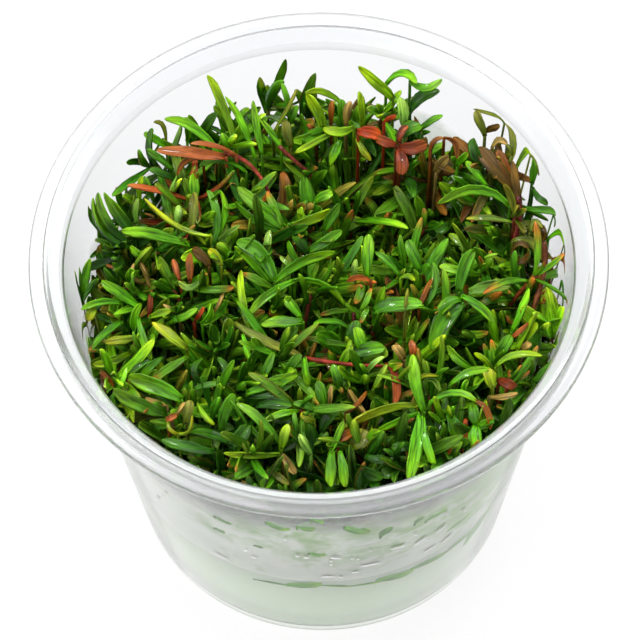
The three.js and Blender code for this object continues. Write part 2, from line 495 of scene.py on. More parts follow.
def rotala_tissue():
    """Fleshy submerged leaf: colour drawn leaf by leaf, streaks along it, and a thin wet film."""
    material, tree = new_material("rotala_tissue")
    colour = add_node(tree, "ShaderNodeVertexColor", {"layer_name": "leaf_colour"})
    grain = add_node(tree, "ShaderNodeAttribute", {"attribute_name": "leaf_grain"})
    veins = add_node(
        tree,
        "ShaderNodeTexNoise",
        {"Scale": 1.0, "Detail": 3.0, "Roughness": 0.6},
        {"Vector": grain.outputs["Vector"]},
    )
    shade = add_node(
        tree,
        "ShaderNodeMapRange",
        {"From Min": 0.33, "From Max": 0.67, "To Min": 0.36, "To Max": 1.56},
        {"Value": veins.outputs["Fac"]},
    )
    mixed = add_node(
        tree,
        "ShaderNodeVectorMath",
        {"operation": "SCALE"},
        {"Vector": colour.outputs["Color"], "Scale": shade.outputs["Result"]},
    )
    bump = add_node(
        tree,
        "ShaderNodeBump",
        {"Strength": 0.8, "Distance": 0.0002},
        {"Height": veins.outputs["Fac"]},
    )
    shader = add_node(
        tree,
        "ShaderNodeBsdfPrincipled",
        {
            "Roughness": 0.42,
            "IOR": 1.4,
            "Specular IOR Level": 0.12,
            "Coat Weight": 0.28,
            "Coat IOR": 1.33,
            "Coat Roughness": 0.1,
            "Subsurface Weight": 0.2,
            "Subsurface Radius": (0.6, 1.0, 0.2),
            "Subsurface Scale": 0.0006,
        },
        {"Base Color": mixed.outputs["Vector"], "Normal": bump.outputs["Normal"]},
    )
    add_node(tree, "ShaderNodeOutputMaterial", links={"Surface": shader.outputs["BSDF"]})
    return material


def studio_white():
    """Matt white sweep under the cup, lit a little from below like a light table."""
    material, tree = new_material("studio_white")
    shader = add_node(
        tree,
        "ShaderNodeBsdfPrincipled",
        {
            "Base Color": (*linear("606060"), 1),
            "Roughness": 0.9,
            "Emission Color": (1, 1, 1, 1),
            "Emission Strength": FLOOR_GLOW,
        },
    )
    add_node(tree, "ShaderNodeOutputMaterial", links={"Surface": shader.outputs["BSDF"]})
    return material


# Pieces


def piece_of(mesh, name, materials, replaced=()):
    """A finished mesh as an object that rides on the cup's one body."""
    for material in materials:
        mesh.materials.append(material)
    piece = bpy.data.objects.new(name, mesh)
    bpy.context.scene.collection.objects.link(piece)
    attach(piece, "root")
    if replaced:
        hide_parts(*replaced)
    return piece


def turned(profile, steps):
    """A closed solid spun about +Z from a closed profile of [radius, height] in millimetres."""
    bm = bmesh.new()
    corners = [bm.verts.new((r * MM, 0, z * MM)) for r, z in profile]
    edges = [bm.edges.new((a, b)) for a, b in zip(corners, corners[1:])]
    bmesh.ops.spin(
        bm,
        geom=corners + edges,
        axis=(0, 0, 1),
        cent=(0, 0, 0),
        angle=2 * math.pi,
        steps=steps,
        use_merge=True,
    )
    bmesh.ops.remove_doubles(bm, verts=bm.verts[:], dist=1e-6)
    bmesh.ops.recalc_face_normals(bm, faces=bm.faces[:])
    return bm


def mesh_from(bm, name):
    mesh = bpy.data.meshes.new(name)
    bm.to_mesh(mesh)
    bm.free()
    mesh.shade_smooth()
    return mesh


def rounded(corners, segments=4):
    """A profile from corners of (radius, height, rounding), each corner rounded by its own."""
    out = []
    for i, (r, z, radius) in enumerate(corners):
        if not radius:
            out.append((r, z))
            continue
        here = Vector((r, z))
        before = Vector(corners[i - 1][:2])
        after = Vector(corners[i + 1][:2])
        start = here + (before - here).normalized() * radius
        end = here + (after - here).normalized() * radius
        for k in range(segments + 1):
            t = k / segments
            p = start * (1 - t) ** 2 + here * 2 * t * (1 - t) + end * t * t
            out.append((p.x, p.y))
    return out


def cup(*finishes):
    """The moulded cup, from under its foot up the outside, over the flange and down the inside."""
    floor = RECESS + WALL
    wall_top = STEP_Z - 1
    corners = [
        (0, RECESS, 0),
        (FOOT_RING_R - FOOT_SLOPE, RECESS, 0.3),
        (FOOT_RING_R, 0, 0.3),
        (BASE_R - FOOT_ROUND, 0, 0),
        (BASE_R, EASE, 1.2),
        (MOUTH_R, STEP_Z, 0.8),
        (RIDGE_OUT_R, RIM_Z - FLANGE, 0.5),
        (RIM_R - FLANGE - BEAD_SLOPE, RIM_Z - FLANGE - EASE, 0.3),
        (RIM_R - FLANGE + EASE, RIM_Z - BEAD, 0),
        (RIM_R - EASE, RIM_Z - BEAD, 0.55),
        (RIM_R, RIM_Z - EASE / 2, 0.6),
        (RIDGE_OUT_R + 0.2, RIDGE_TOP - RIDGE, 0.2),
        (RIDGE_OUT_R, RIDGE_TOP, 0.06),
        (RIDGE_IN_R, RIDGE_TOP, 0.06),
        (SEAT_R, STEP_Z + SEAT_RISE, 0.25),
        (MOUTH_R - MOUTH_WALL, STEP_Z - SEAT_DROP, 0.4),
        (wall_inner(GEL_TOP), GEL_TOP, 0),
        (wall_inner(floor), floor, 1.2),
        (0, floor, 0),
    ]
    bm = turned(rounded(corners), CUP_STEPS)
    for face in bm.faces:
        middle = face.calc_center_median()
        r = math.hypot(middle.x, middle.y) / MM
        z = middle.z / MM
        inside = r < wall_inner(z) + MOUTH_WALL / 2 and GEL_TOP < z < wall_top
        frosted_foot = r > FOOT_RING_R and z < floor + 0.4
        seat = SEAT_R + 0.1 < r < RIDGE_OUT_R + 0.3 and z > STEP_Z + 0.4
        # painted highlight: the flange's lower edge gets the matt white finish that shows as a line of light
        painted_highlight_edge = r > RIM_R - 0.5 and z < RIM_Z - BEAD + 0.4
        under_foot = r < BASE_R - FOOT_ROUND and z < floor
        if frosted_foot or inside:
            face.material_index = FOGGED
        elif seat:
            face.material_index = MILKY
        elif painted_highlight_edge:
            face.material_index = PAINTED_HIGHLIGHT_EDGE
        elif z < wall_top and not under_foot:
            face.material_index = THIN
    mesh = mesh_from(bm, "culture_cup")
    return piece_of(mesh, "culture_cup", finishes, ["cup"])


def gel(material):
    """The slab of gel, fitted to the foot of the cup, with its skin drawn up along the wall."""
    foot = RECESS + WALL + GEL_GAP
    top = GEL_TOP + MENISCUS
    profile = [
        (0, foot),
        (wall_inner(foot) - GEL_EDGE, foot),
        (wall_inner(foot + GEL_ROUND) - GEL_GAP, foot + GEL_ROUND),
        (wall_inner(top) - GEL_GAP, top),
        (wall_inner(top) - 0.5, top - 0.25),
        (wall_inner(GEL_TOP) - GEL_EDGE, GEL_TOP + 0.05),
        (wall_inner(GEL_TOP) - GEL_CLIMB, GEL_TOP),
        (0, GEL_TOP),
    ]
    mesh = mesh_from(turned(profile, GEL_STEPS), "culture_gel")
    return piece_of(mesh, "culture_gel", [material], ["gel"])


# Leaves and stems: one small form each, bent and set down many times through arrays

RINGS = (0, 3, 8, 14, 20, 25, 29, 31)  # in 32nds of a leaf's length
GRID = 32
ROUND = 8
STEM_RINGS = tuple(range(0, GRID + 1, 4))
STEM_ROUND = 6
WIDEN = 0.45  # share of a leaf's length over which it widens from its stalk
NARROW = 0.66  # and from which it narrows to its tip
THINNING = 0.8  # and from which it grows thin
RIPPLE = 0.09  # how far its edges wave in and out, as a share of its width
RIPPLES = 11
CREST = 0.9  # where the tube's section counts as its top, its underside or its edges
GROOVE = 0.15  # what is left of its thickness above the midrib
KEEL = 1.5  # and how much thicker it is below
RIB_WIDTH = 0.2
LIGHT_FOOT = 0.25  # how much lighter it is at its foot
BROWN_MARGIN = "6b3a17"
RUSTED_TIP = "9c5c28"
STRIDE = 1.7  # from one leaf to the next in the streaks' pattern
STEM_TAPER = 0.3
STEM_SHADE = 0.7  # how dark a stem is at its foot
STEM_STREAKS = 40  # millimetres of streaks along a stem
STEM_SIDE = np.array([0.31, 0.95, 0.05])  # a heading that no stem takes
VEIN_LENGTH = 4.0  # millimetres along a leaf before its streaks change
VEIN_SPACING = 0.45  # and across it, coarser than real veins so that they show
LIVE_GREEN = np.array([0.98, 1.0, 0.72])  # wet tissue takes some red and blue out of every tone


def unit_tube(rings, round_steps):
    """A closed tube along +X from 0 to 1, its sections unit circles, its ends drawn to points."""
    bm = bmesh.new()
    upright = Matrix.Rotation(math.pi / 2, 4, "Y")
    bmesh.ops.create_circle(bm, segments=round_steps, radius=1.0, matrix=upright)
    edges = bm.edges[:]
    ends = [edges]
    for a, b in zip(rings, rings[1:]):
        grown = bmesh.ops.extrude_edge_only(bm, edges=edges)["geom"]
        verts = [v for v in grown if isinstance(v, bmesh.types.BMVert)]
        edges = [e for e in grown if isinstance(e, bmesh.types.BMEdge)]
        bmesh.ops.translate(bm, verts=verts, vec=((b - a) / GRID, 0, 0))
    ends.append(edges)
    for x, loop in ((0.0, ends[0]), (1.0, ends[1])):
        cap = bmesh.ops.contextual_create(bm, geom=loop)["faces"]
        tip = bmesh.ops.poke(bm, faces=cap)["verts"][0]
        tip.co.x = x
    bmesh.ops.triangulate(bm, faces=bm.faces[:])
    bmesh.ops.recalc_face_normals(bm, faces=bm.faces[:])
    bm.verts.index_update()
    points = np.array([v.co[:] for v in bm.verts])
    faces = np.array([[v.index for v in f.verts] for f in bm.faces])
    bm.free()
    return points, faces


LEAF_POINTS, LEAF_FACES = unit_tube(RINGS, ROUND)
STEM_POINTS, STEM_FACES = unit_tube(STEM_RINGS, STEM_ROUND)


class Growth:
    """Leaves and stems waiting to be made into one mesh."""

    def __init__(self):
        self.leaves = []
        self.stems = []

    def leaf(self, foot, way, up, length=10.0, bend=0.4, hook=0.0, sweep=0.0, **traits):
        """A leaf from its foot along way, arching away from up and swept to one side."""
        way = way.normalized()
        up = (up - way * up.dot(way)).normalized()
        side = up.cross(way)
        third = length / 3
        points = [foot, foot + way * third]
        for dip, veer in ((bend * 0.5, sweep * 0.5), (bend + hook, sweep)):
            ahead = way * math.cos(veer) + side * math.sin(veer)
            points.append(points[-1] + (ahead * math.cos(dip) - up * math.sin(dip)) * third)
        self.leaves.append((points, up, traits))

    def leaf_through(self, start, halfway, end, up, **traits):
        """A leaf from start to end that passes through halfway."""
        pull = halfway * 2 - (start + end) / 2
        points = [start, start + (pull - start) * 2 / 3, end + (pull - end) * 2 / 3, end]
        self.leaves.append((points, up, traits))

    def stem(self, foot, bend, tip, radius, colour):
        self.stems.append((foot, bend, tip, radius, colour))

    def mesh(self, name, pressed=True):
        parts = []
        if self.leaves:
            parts.append(leaf_arrays(self.leaves))
        if self.stems:
            parts.append(stem_arrays(self.stems))
        points = np.concatenate([p[0] for p in parts])
        colours = np.concatenate([p[2] for p in parts])
        grain = np.concatenate([p[3] for p in parts])
        first = np.cumsum([0] + [len(p[0]) for p in parts[:-1]])
        faces = np.concatenate([p[1] + k for p, k in zip(parts, first)])
        if pressed:
            points = kept_in_cup(points)
        mesh = bpy.data.meshes.new(name)
        mesh.from_pydata((points * MM).tolist(), [], faces.tolist())
        layer = mesh.color_attributes.new("leaf_colour", "FLOAT_COLOR", "POINT")
        rgba = np.concatenate([colours, np.ones((len(colours), 1))], axis=1)
        layer.data.foreach_set("color", rgba.ravel())
        layer = mesh.attributes.new("leaf_grain", "FLOAT_VECTOR", "POINT")
        layer.data.foreach_set("vector", grain.ravel())
        mesh.shade_smooth()
        return mesh


def kept_in_cup(points):
    """Leaves that reach the wall are pressed flat against it."""
    out = points.copy()
    r = np.hypot(out[:, 0], out[:, 1])
    limit = wall_inner(np.minimum(out[:, 2], STEP_Z)) - WALL_CLEAR
    limit = limit + np.maximum(out[:, 2] - STEP_Z, 0) * MOUTH_FLARE
    over = np.maximum(r - limit + PRESSED, 0)
    fitted = limit - PRESSED * np.exp(-over / PRESSED)
    share = np.where(over > 0, fitted / np.maximum(r, 1e-6), 1.0)
    out[:, 0] *= share
    out[:, 1] *= share
    out[:, 2] = np.maximum(out[:, 2], GEL_TOP - SINK)
    return out


def leaf_arrays(leaves):
    """Points, faces and colours of all the leaves at once."""
    count = len(leaves)

    def trait(key, default):
        return np.array([traits.get(key, default) for *_, traits in leaves], float)

    control = np.array([[p[:] for p in points] for points, *_ in leaves])
    up = np.array([u[:] for _, u, _ in leaves])
    width = trait("width", 2.0)[:, None]
    thick = trait("thick", 0.42)[:, None]
    twist = trait("twist", 0.0)[:, None]
    trough = trait("trough", 0.35)[:, None]
    stalk = trait("stalk", 0.4)[:, None]
    sharp = trait("sharp", 1.8)[:, None]
    point = trait("point", 0.5)[:, None]
    tip_from = trait("tip_from", 0.55)[:, None]
    base = trait("base", (0, 0, 0))
    tip = trait("tip", (0, 0, 0))
    edge = trait("edge", 0.0)[:, None]
    rib = trait("rib", 1.2)[:, None]
    rim = trait("rim", 1.0)[:, None]
    wave = trait("wave", 0.0)[:, None]
    burn = trait("burn", 0.0)[:, None]

    s = np.linspace(0, 1, GRID + 1)[:, None]
    weights = np.concatenate([(1 - s) ** 3, 3 * s * (1 - s) ** 2, 3 * s * s * (1 - s), s**3], 1)
    middle = np.einsum("sk,nkc->nsc", weights, control)
    along = unit(np.gradient(middle, axis=1))
    side = unit(np.cross(up, control[:, 3] - control[:, 0]))[:, None]
    flat = unit(side - along * (side * along).sum(-1, keepdims=True))
    rise = np.cross(along, flat)
    turn = (twist * s[:, 0][None])[:, :, None]
    flat, rise = flat * np.cos(turn) + rise * np.sin(turn), rise * np.cos(turn) - flat * np.sin(turn)

    u = LEAF_POINTS[:, 0]
    y = LEAF_POINTS[:, 1][None, :]
    z = LEAF_POINTS[:, 2][None, :]
    k = np.clip(np.round(u * GRID).astype(int), 0, GRID)
    u = u[None, :]
    narrowing = np.clip((u - NARROW) / (1 - NARROW), 0, 1)
    outline = stalk + (1 - stalk) * smooth(0.0, WIDEN, u)
    outline = outline * np.clip(1 - narrowing**sharp, 0, 1) ** point
    outline = outline * (1 + RIPPLE * np.sin(u * RIPPLES + wave + y * 1.3) * smooth(0.05, 0.3, u))
    body = np.sqrt(np.clip(1 - np.clip((u - THINNING) / (1 - THINNING), 0, 1) ** 2, 0, 1))
    across = y * outline * width / 2
    groove = np.where(z > CREST, GROOVE, 1.0)
    keel = np.where(z < -CREST, KEEL, 1.0)
    lift = z * groove * keel * body * thick / 2 + trough * (np.abs(y) ** 1.5 - 0.5) * outline * width / 2
    points = middle[:, k] + flat[:, k] * across[:, :, None] + rise[:, k] * lift[:, :, None]
    base, tip = base * LIVE_GREEN, tip * LIVE_GREEN

    def spread(values):
        return np.repeat(values, count // len(values), 0)[:, :, None]

    fade = smooth(tip_from, 1.0, u)[:, :, None]
    colour = base[:, None, :] * (1 - fade) + tip[:, None, :] * fade
    colour = colour * (1 + LIGHT_FOOT * spread(1 - smooth(0.0, 0.35, u)))
    middle_line = ((np.abs(y) < RIB_WIDTH) * (rib - 1))[:, :, None]
    side_line = ((np.abs(y) > CREST) * (rim - 1))[:, :, None]
    colour = colour * (1 + middle_line + side_line)
    brown = np.array(linear(BROWN_MARGIN))
    margin = (edge * (np.abs(y) > CREST))[:, :, None]
    colour = colour * (1 - margin) + brown * margin
    rust = np.array(linear(RUSTED_TIP))
    burnt = (burn * smooth(0.8, 0.97, u))[:, :, None]
    colour = colour * (1 - burnt) + rust * burnt
    reach = np.linalg.norm(control[:, 3] - control[:, 0], axis=1)[:, None]
    number = np.broadcast_to(np.arange(count)[:, None] * STRIDE, across.shape)
    grain = np.stack([u * reach / VEIN_LENGTH, across / VEIN_SPACING, number], -1)
    faces = (LEAF_FACES[None] + (np.arange(count) * len(LEAF_POINTS))[:, None, None]).reshape(-1, 3)
    return points.reshape(-1, 3), faces, colour.reshape(-1, 3), grain.reshape(-1, 3)


def stem_arrays(stems):
    """Points, faces and colours of all the stems at once."""
    count = len(stems)
    foot, bend, tip = (np.array([s[i][:] for s in stems])[:, None, :] for i in range(3))
    radius = np.array([s[3] for s in stems])[:, None]
    colour = np.array([s[4] for s in stems])[:, None, :]
    t = np.linspace(0, 1, GRID + 1)[None, :, None]
    middle = foot * (1 - t) ** 2 + bend * 2 * t * (1 - t) + tip * t * t
    along = unit(np.gradient(middle, axis=1))
    flat = unit(np.cross(along, STEM_SIDE))
    rise = np.cross(along, flat)
    u = STEM_POINTS[:, 0]
    k = np.clip(np.round(u * GRID).astype(int), 0, GRID)
    girth = radius * (1 - STEM_TAPER * u[None, :])
    across = (girth * STEM_POINTS[:, 1][None, :])[:, :, None]
    lift = (girth * STEM_POINTS[:, 2][None, :])[:, :, None]
    points = middle[:, k] + flat[:, k] * across + rise[:, k] * lift
    shade = colour * between(STEM_SHADE, 1.0, u)[None, :, None]
    number = np.broadcast_to(np.arange(count)[:, None] * STRIDE, girth.shape)
    streaks = np.broadcast_to(u[None, :] * STEM_STREAKS / VEIN_LENGTH, girth.shape)
    grain = np.stack([streaks, across[:, :, 0] / VEIN_SPACING, number], -1)
    faces = (STEM_FACES[None] + (np.arange(count) * len(STEM_POINTS))[:, None, None]).reshape(-1, 3)
    return points.reshape(-1, 3), faces, shade.reshape(-1, 3), grain.reshape(-1, 3)


# Leaf colours by kind of shoot: body, tip, stem
TONES = {
    "green": [
        ("386c0c", "628e18"),
        ("2f620a", "508014"),
        ("26560b", "447614"),
        ("45790c", "749c1e"),
        ("426a14", "6c861e"),
    ],
    "lime": [("5c9412", "a6c732"), ("64a016", "9cc028")],
    "dark": [("1e470a", "437014"), ("274f0e", "4c6f18")],
    "olive": [("525a17", "7e7428"), ("475d19", "847e2a")],
    "brown": [("5a3f18", "7d5220"), ("4a5216", "8a6a2a")],
    "tan": [("7c6836", "a88a58"), ("6a5a2c", "a0703c")],
    "coral": [("a54c2a", "b8683c"), ("8d3a20", "5b7a1e")],
    "orange": [("4f8418", "a8602a"), ("4a7a14", "96521e")],
    "maroon": [("6b2a20", "8a4030"), ("4f2a18", "6d3f22")],
}
STEM_TONES = {
    "coral": "7c2c22",
    "olive": "6a2c22",
    "brown": "5c2a1c",
    "orange": "7a3a1e",
    "maroon": "5a211c",
}
GREEN_STEMS = ["4c6a1c", "5c6a24", "6e4a26", "3f5f18", "6a3322"]

# Colours of the leaves that can be told apart: body and tip, as the photograph shows them
# besides each leaf's own colour, these tones hold the light and shade on it: painted shade in the deep tone,
# painted highlight in the pale tone
SEEN_TONES = {
    "lime": ("6f9c12", "a8c81c"),
    "bright": ("529210", "80b41a"),
    "fresh": ("559e10", "82c018"),
    "green": ("3d760e", "5c9616"),
    "deep": ("224c0a", "3f7010"),
    "bud": ("24500a", "74a814"),
    "olive": ("586616", "82822a"),
    "yellow": ("7e981a", "b4b426"),
    "brown": ("523c12", "6c4c18"),
    "rust": ("7c4416", "a0601e"),
    "tan": ("86703a", "b49258"),
    "pale": ("689638", "9abc56"),
    "coral": ("a8562a", "a05a30"),
    "scarlet": ("a83a1a", "c85424"),
    "maroon": ("78301a", "924824"),
    "fire": ("5a901a", "b0642a"),
}

# The leaves that can be told apart in the photograph. Each has its tone, its width, foot, middle and
# tip in pixels of the photograph, and the heights of its foot and tip in millimetres
SEEN_LEAVES = {
    # back left
    "long yellow blade": ("lime", 9, 236, 147, 222, 103, 207, 75, 70, 78),
    "blade beside it": ("bright", 8, 255, 158, 242, 124, 225, 96, 70, 77),
    "dark blade behind": ("deep", 10, 197, 142, 206, 126, 217, 112, 69, 75),
    "long low blade": ("bright", 10, 220, 155, 194, 128, 164, 119, 70, 74),
    "curled tip left": ("olive", 5, 166, 144, 163, 126, 153, 122, 69, 73),
    "left finger one": ("fresh", 8, 168, 147, 155, 139, 143, 132, 69, 72),
    "left finger two": ("green", 8, 173, 170, 159, 158, 147, 149, 68, 71),
    "left finger three": ("deep", 8, 176, 180, 162, 173, 149, 169, 68, 70),
    "left nub": ("bright", 9, 187, 140, 188, 128, 185, 117, 69, 73),
    "small upright": ("fresh", 8, 228, 150, 225, 141, 222, 133, 71, 74),
    "left arch low": ("lime", 7, 140, 202, 139, 188, 143, 176, 66, 70),
    "left arch high": ("green", 7, 154, 202, 149, 188, 144, 176, 66, 70),
    "coral leaf": ("coral", 13, 226, 157, 196, 154, 156, 150, 72, 73),
    "coral leaf above": ("coral", 6, 236, 155, 212, 145, 190, 144, 72, 74),
    "orange curl": ("rust", 6, 203, 159, 186, 161, 177, 176, 70, 69),
    "pale thread": ("pale", 3, 177, 176, 172, 186, 167, 196, 69, 67),
    "upright broad": ("bright", 11, 195, 202, 194, 186, 194, 173, 69, 71),
    "dark strap": ("green", 10, 246, 172, 222, 160, 199, 167, 69, 71),
    "left upright": ("pale", 8, 137, 224, 136, 210, 138, 198, 65, 69),
    # back middle
    "blade in the gap": ("bright", 8, 262, 155, 257, 127, 253, 100, 71, 77),
    "dark tip one": ("deep", 7, 260, 130, 253, 121, 247, 115, 70, 73),
    "dark tip two": ("green", 7, 259, 134, 262, 124, 267, 117, 70, 73),
    "blade to the stem": ("bright", 9, 281, 147, 270, 132, 260, 118, 71, 73),
    "pointed blade": ("green", 7, 289, 120, 287, 101, 282, 83, 72, 77),
    "pointed brown blade": ("olive", 5, 273, 133, 287, 110, 297, 89, 71, 77),
    "small blade": ("green", 7, 289, 126, 294, 114, 297, 105, 71, 74),
    "olive upright": ("olive", 10, 291, 148, 287, 134, 285, 120, 70, 73),
    "bright broad leaf": ("lime", 14, 323, 129, 317, 109, 306, 94, 71, 76),
    "arched leaf": ("lime", 7, 346, 108, 325, 92, 305, 93, 73, 77),
    "rust stub": ("rust", 7, 331, 124, 331, 112, 332, 100, 71, 75),
    "green behind": ("green", 10, 342, 126, 342, 112, 341, 99, 71, 75),
    "pinkish leaf": ("tan", 9, 346, 125, 347, 112, 351, 101, 72, 75),
    "yellow upright": ("lime", 10, 362, 127, 361, 108, 359, 91, 72, 77),
    "yellow cross": ("lime", 10, 354, 127, 339, 132, 323, 128, 73, 74),
    "long to the left": ("lime", 7, 336, 131, 315, 142, 295, 153, 73, 72),
    "green under it": ("green", 7, 325, 129, 316, 131, 307, 133, 71, 71),
    "rust nub": ("rust", 5, 316, 129, 311, 127, 307, 124, 71, 72),
    "broad under it": ("bright", 11, 322, 135, 307, 138, 293, 142, 70, 71),
    "hanging pale leaf": ("bright", 11, 340, 141, 335, 153, 330, 166, 71, 69),
    "hanging yellow": ("yellow", 7, 357, 139, 363, 150, 371, 161, 71, 69),
    "top cluster left": ("lime", 13, 393, 99, 379, 84, 358, 66, 74, 79),
    "top cluster arch": ("bright", 10, 386, 84, 402, 73, 417, 84, 75, 79),
    "top cluster right": ("bright", 9, 410, 81, 426, 88, 442, 79, 77, 78),
    "top cluster dark": ("deep", 13, 410, 112, 421, 98, 440, 91, 73, 76),
    "top cluster centre": ("pale", 12, 404, 128, 403, 112, 400, 97, 73, 76),
    "cluster broad": ("green", 16, 397, 138, 409, 129, 423, 126, 73, 74),
    "cluster right": ("green", 8, 419, 130, 430, 122, 443, 115, 73, 76),
    "scarlet leaf": ("scarlet", 13, 358, 132, 369, 132, 381, 136, 74, 74),
    "scarlet nub": ("scarlet", 6, 384, 122, 390, 118, 396, 116, 75, 76),
    "star right": ("maroon", 14, 399, 147, 413, 148, 427, 143, 74, 75),
    "star down": ("maroon", 13, 399, 150, 402, 162, 401, 175, 74, 73),
    "star left": ("maroon", 11, 396, 145, 386, 142, 376, 138, 74, 74),
    "star back": ("maroon", 8, 400, 143, 401, 133, 408, 126, 74, 75),
    "brown arch left": ("rust", 6, 430, 161, 433, 143, 444, 138, 71, 74),
    "brown arch right": ("rust", 6, 444, 138, 455, 143, 457, 160, 74, 71),
    "brown knot": ("tan", 12, 436, 172, 441, 163, 449, 156, 70, 72),
    "brown knot below": ("brown", 10, 433, 160, 444, 168, 455, 171, 71, 70),
    "green by the knot": ("fresh", 8, 457, 166, 462, 158, 468, 153, 69, 72),
    "green sliver": ("fresh", 8, 487, 186, 476, 173, 466, 161, 69, 71),
    # back right
    "thin arch": ("olive", 4, 507, 121, 491, 114, 473, 109, 76, 77),
    "arch falling": ("olive", 8, 509, 165, 514, 142, 507, 120, 73, 76),
    "leaf from the arch": ("olive", 9, 485, 136, 480, 122, 475, 111, 74, 77),
    "brown small": ("brown", 8, 485, 132, 492, 128, 500, 126, 74, 76),
    "dark lower": ("deep", 12, 483, 165, 475, 153, 473, 138, 72, 75),
    "olive curl left": ("tan", 7, 492, 148, 499, 140, 507, 145, 74, 75),
    "olive curl right": ("olive", 7, 507, 145, 510, 153, 504, 160, 75, 72),
    "long brown leaf": ("brown", 16, 514, 190, 496, 168, 477, 147, 71, 74),
    "second brown leaf": ("rust", 11, 515, 186, 505, 166, 497, 150, 71, 74),
    "pale brown leaf": ("brown", 9, 518, 212, 516, 186, 512, 160, 70, 75),
    "right arch": ("lime", 8, 517, 166, 529, 149, 545, 149, 73, 75),
    "right arch end": ("olive", 8, 543, 148, 552, 155, 552, 170, 75, 73),
    "right upright": ("green", 10, 532, 183, 535, 169, 538, 156, 71, 75),
    "right low curl": ("deep", 7, 533, 188, 540, 199, 551, 203, 71, 71),
    "right level": ("green", 8, 523, 208, 545, 210, 567, 212, 70, 72),
    "right drip": ("green", 3, 563, 212, 563, 219, 562, 225, 71, 69),
    "long bright arch": ("bright", 11, 510, 206, 478, 189, 437, 204, 70, 71),
    "knot curl over": ("olive", 6, 530, 232, 535, 221, 543, 229, 71, 72),
    "knot curl down": ("brown", 6, 543, 228, 545, 234, 543, 241, 72, 70),
    "rim arch": ("bright", 7, 548, 239, 562, 232, 569, 246, 70, 72),
    "rim arch end": ("olive", 6, 569, 244, 571, 252, 569, 261, 72, 69),
    "rust tipped": ("rust", 6, 553, 259, 566, 260, 575, 274, 70, 69),
    "right hanging": ("green", 6, 562, 281, 565, 296, 564, 313, 69, 67),
    "level over knot": ("olive", 8, 513, 241, 531, 241, 541, 260, 70, 69),
    "dark ring": ("brown", 7, 514, 250, 521, 262, 529, 251, 69, 70),
    "dark ring top": ("brown", 6, 513, 250, 520, 243, 529, 249, 69, 70),
    # left edge
    "bud one": ("bud", 9, 130, 248, 103, 230, 93, 197, 68, 73),
    "bud two": ("bud", 9, 132, 244, 108, 223, 98, 192, 68, 74),
    "bud three": ("bud", 9, 135, 240, 116, 215, 104, 192, 68, 74),
    "bud four": ("bud", 8, 137, 236, 123, 216, 108, 197, 68, 73),
    "bud under": ("deep", 10, 128, 246, 104, 232, 92, 209, 67, 70),
    "wide level leaf": ("bright", 12, 188, 244, 152, 234, 121, 231, 69, 70),
    "lime edged leaf": ("yellow", 6, 211, 236, 177, 226, 144, 198, 70, 70),
    "olive upright left": ("olive", 11, 191, 234, 194, 211, 194, 192, 68, 71),
    "tall band": ("green", 9, 213, 246, 217, 215, 207, 190, 68, 71),
    "tall band two": ("bright", 8, 218, 234, 225, 211, 220, 190, 68, 71),
    "side light leaf": ("pale", 6, 217, 241, 229, 232, 240, 225, 68, 70),
    "grey green leaf": ("pale", 9, 177, 227, 178, 216, 179, 205, 67, 69),
    "thin left one": ("deep", 4, 123, 254, 112, 252, 102, 250, 65, 66),
    "thin left two": ("green", 4, 125, 260, 117, 259, 111, 258, 65, 66),
    "rust sliver": ("rust", 4, 123, 270, 115, 268, 106, 265, 65, 66),
    "small left point": ("green", 6, 119, 284, 110, 276, 104, 267, 64, 67),
    "left shoulder": ("fresh", 11, 139, 307, 120, 293, 101, 281, 65, 68),
    "touching leaf": ("fresh", 7, 122, 303, 100, 302, 81, 310, 66, 67),
    "yellow short": ("yellow", 10, 95, 308, 91, 313, 88, 321, 66, 65),
    "knuckle leaf": ("bright", 9, 149, 258, 139, 254, 130, 246, 67, 69),
    "tan loop up": ("tan", 5, 145, 283, 133, 277, 134, 263, 67, 69),
    "tan loop down": ("tan", 6, 150, 288, 146, 275, 139, 261, 67, 69),
    "pink leaf": ("coral", 7, 180, 280, 176, 269, 173, 259, 69, 70),
    "brown cup": ("rust", 9, 190, 281, 190, 266, 190, 253, 69, 71),
    "curl under": ("pale", 7, 201, 279, 190, 288, 178, 281, 69, 69),
    "brown hood": ("brown", 11, 209, 266, 202, 256, 192, 249, 70, 71),
    "withered lime": ("yellow", 10, 221, 266, 216, 256, 208, 250, 69, 70),
    "bright tipped": ("fire", 8, 191, 288, 213, 290, 234, 287, 68, 70),
    "tan strand": ("tan", 4, 213, 314, 219, 303, 224, 291, 67, 69),
    "brown stem leaf": ("maroon", 6, 149, 320, 150, 305, 152, 290, 65, 68),
    "yellow end": ("lime", 8, 150, 317, 161, 313, 172, 310, 67, 69),
    "tan sliver": ("tan", 4, 179, 317, 171, 310, 163, 304, 67, 69),
    "long pointing right": ("bright", 8, 168, 323, 183, 317, 198, 308, 67, 70),
    "scarlet sliver": ("scarlet", 5, 194, 322, 199, 315, 204, 307, 67, 69),
    "bright beside it": ("fresh", 11, 202, 323, 210, 315, 210, 303, 67, 69),
    "upright left low": ("fresh", 10, 136, 332, 134, 318, 141, 303, 65, 69),
    # middle
    "broad diagonal": ("bright", 14, 287, 230, 262, 209, 237, 187, 68, 71),
    "edge diagonal": ("green", 9, 289, 234, 258, 222, 235, 201, 67, 69),
    "brown tipped stem leaf": ("fire", 9, 283, 227, 275, 209, 267, 191, 69, 71),
    "wide pointing right": ("lime", 11, 288, 226, 312, 219, 331, 209, 69, 70),
    "pale bud": ("bright", 10, 315, 202, 324, 196, 333, 194, 69, 71),
    "gloss leaf": ("green", 12, 324, 231, 331, 217, 340, 203, 68, 71),
    "upright thin": ("pale", 8, 264, 259, 267, 245, 270, 230, 67, 70),
    "broad dull": ("green", 17, 275, 281, 260, 254, 236, 242, 68, 70),
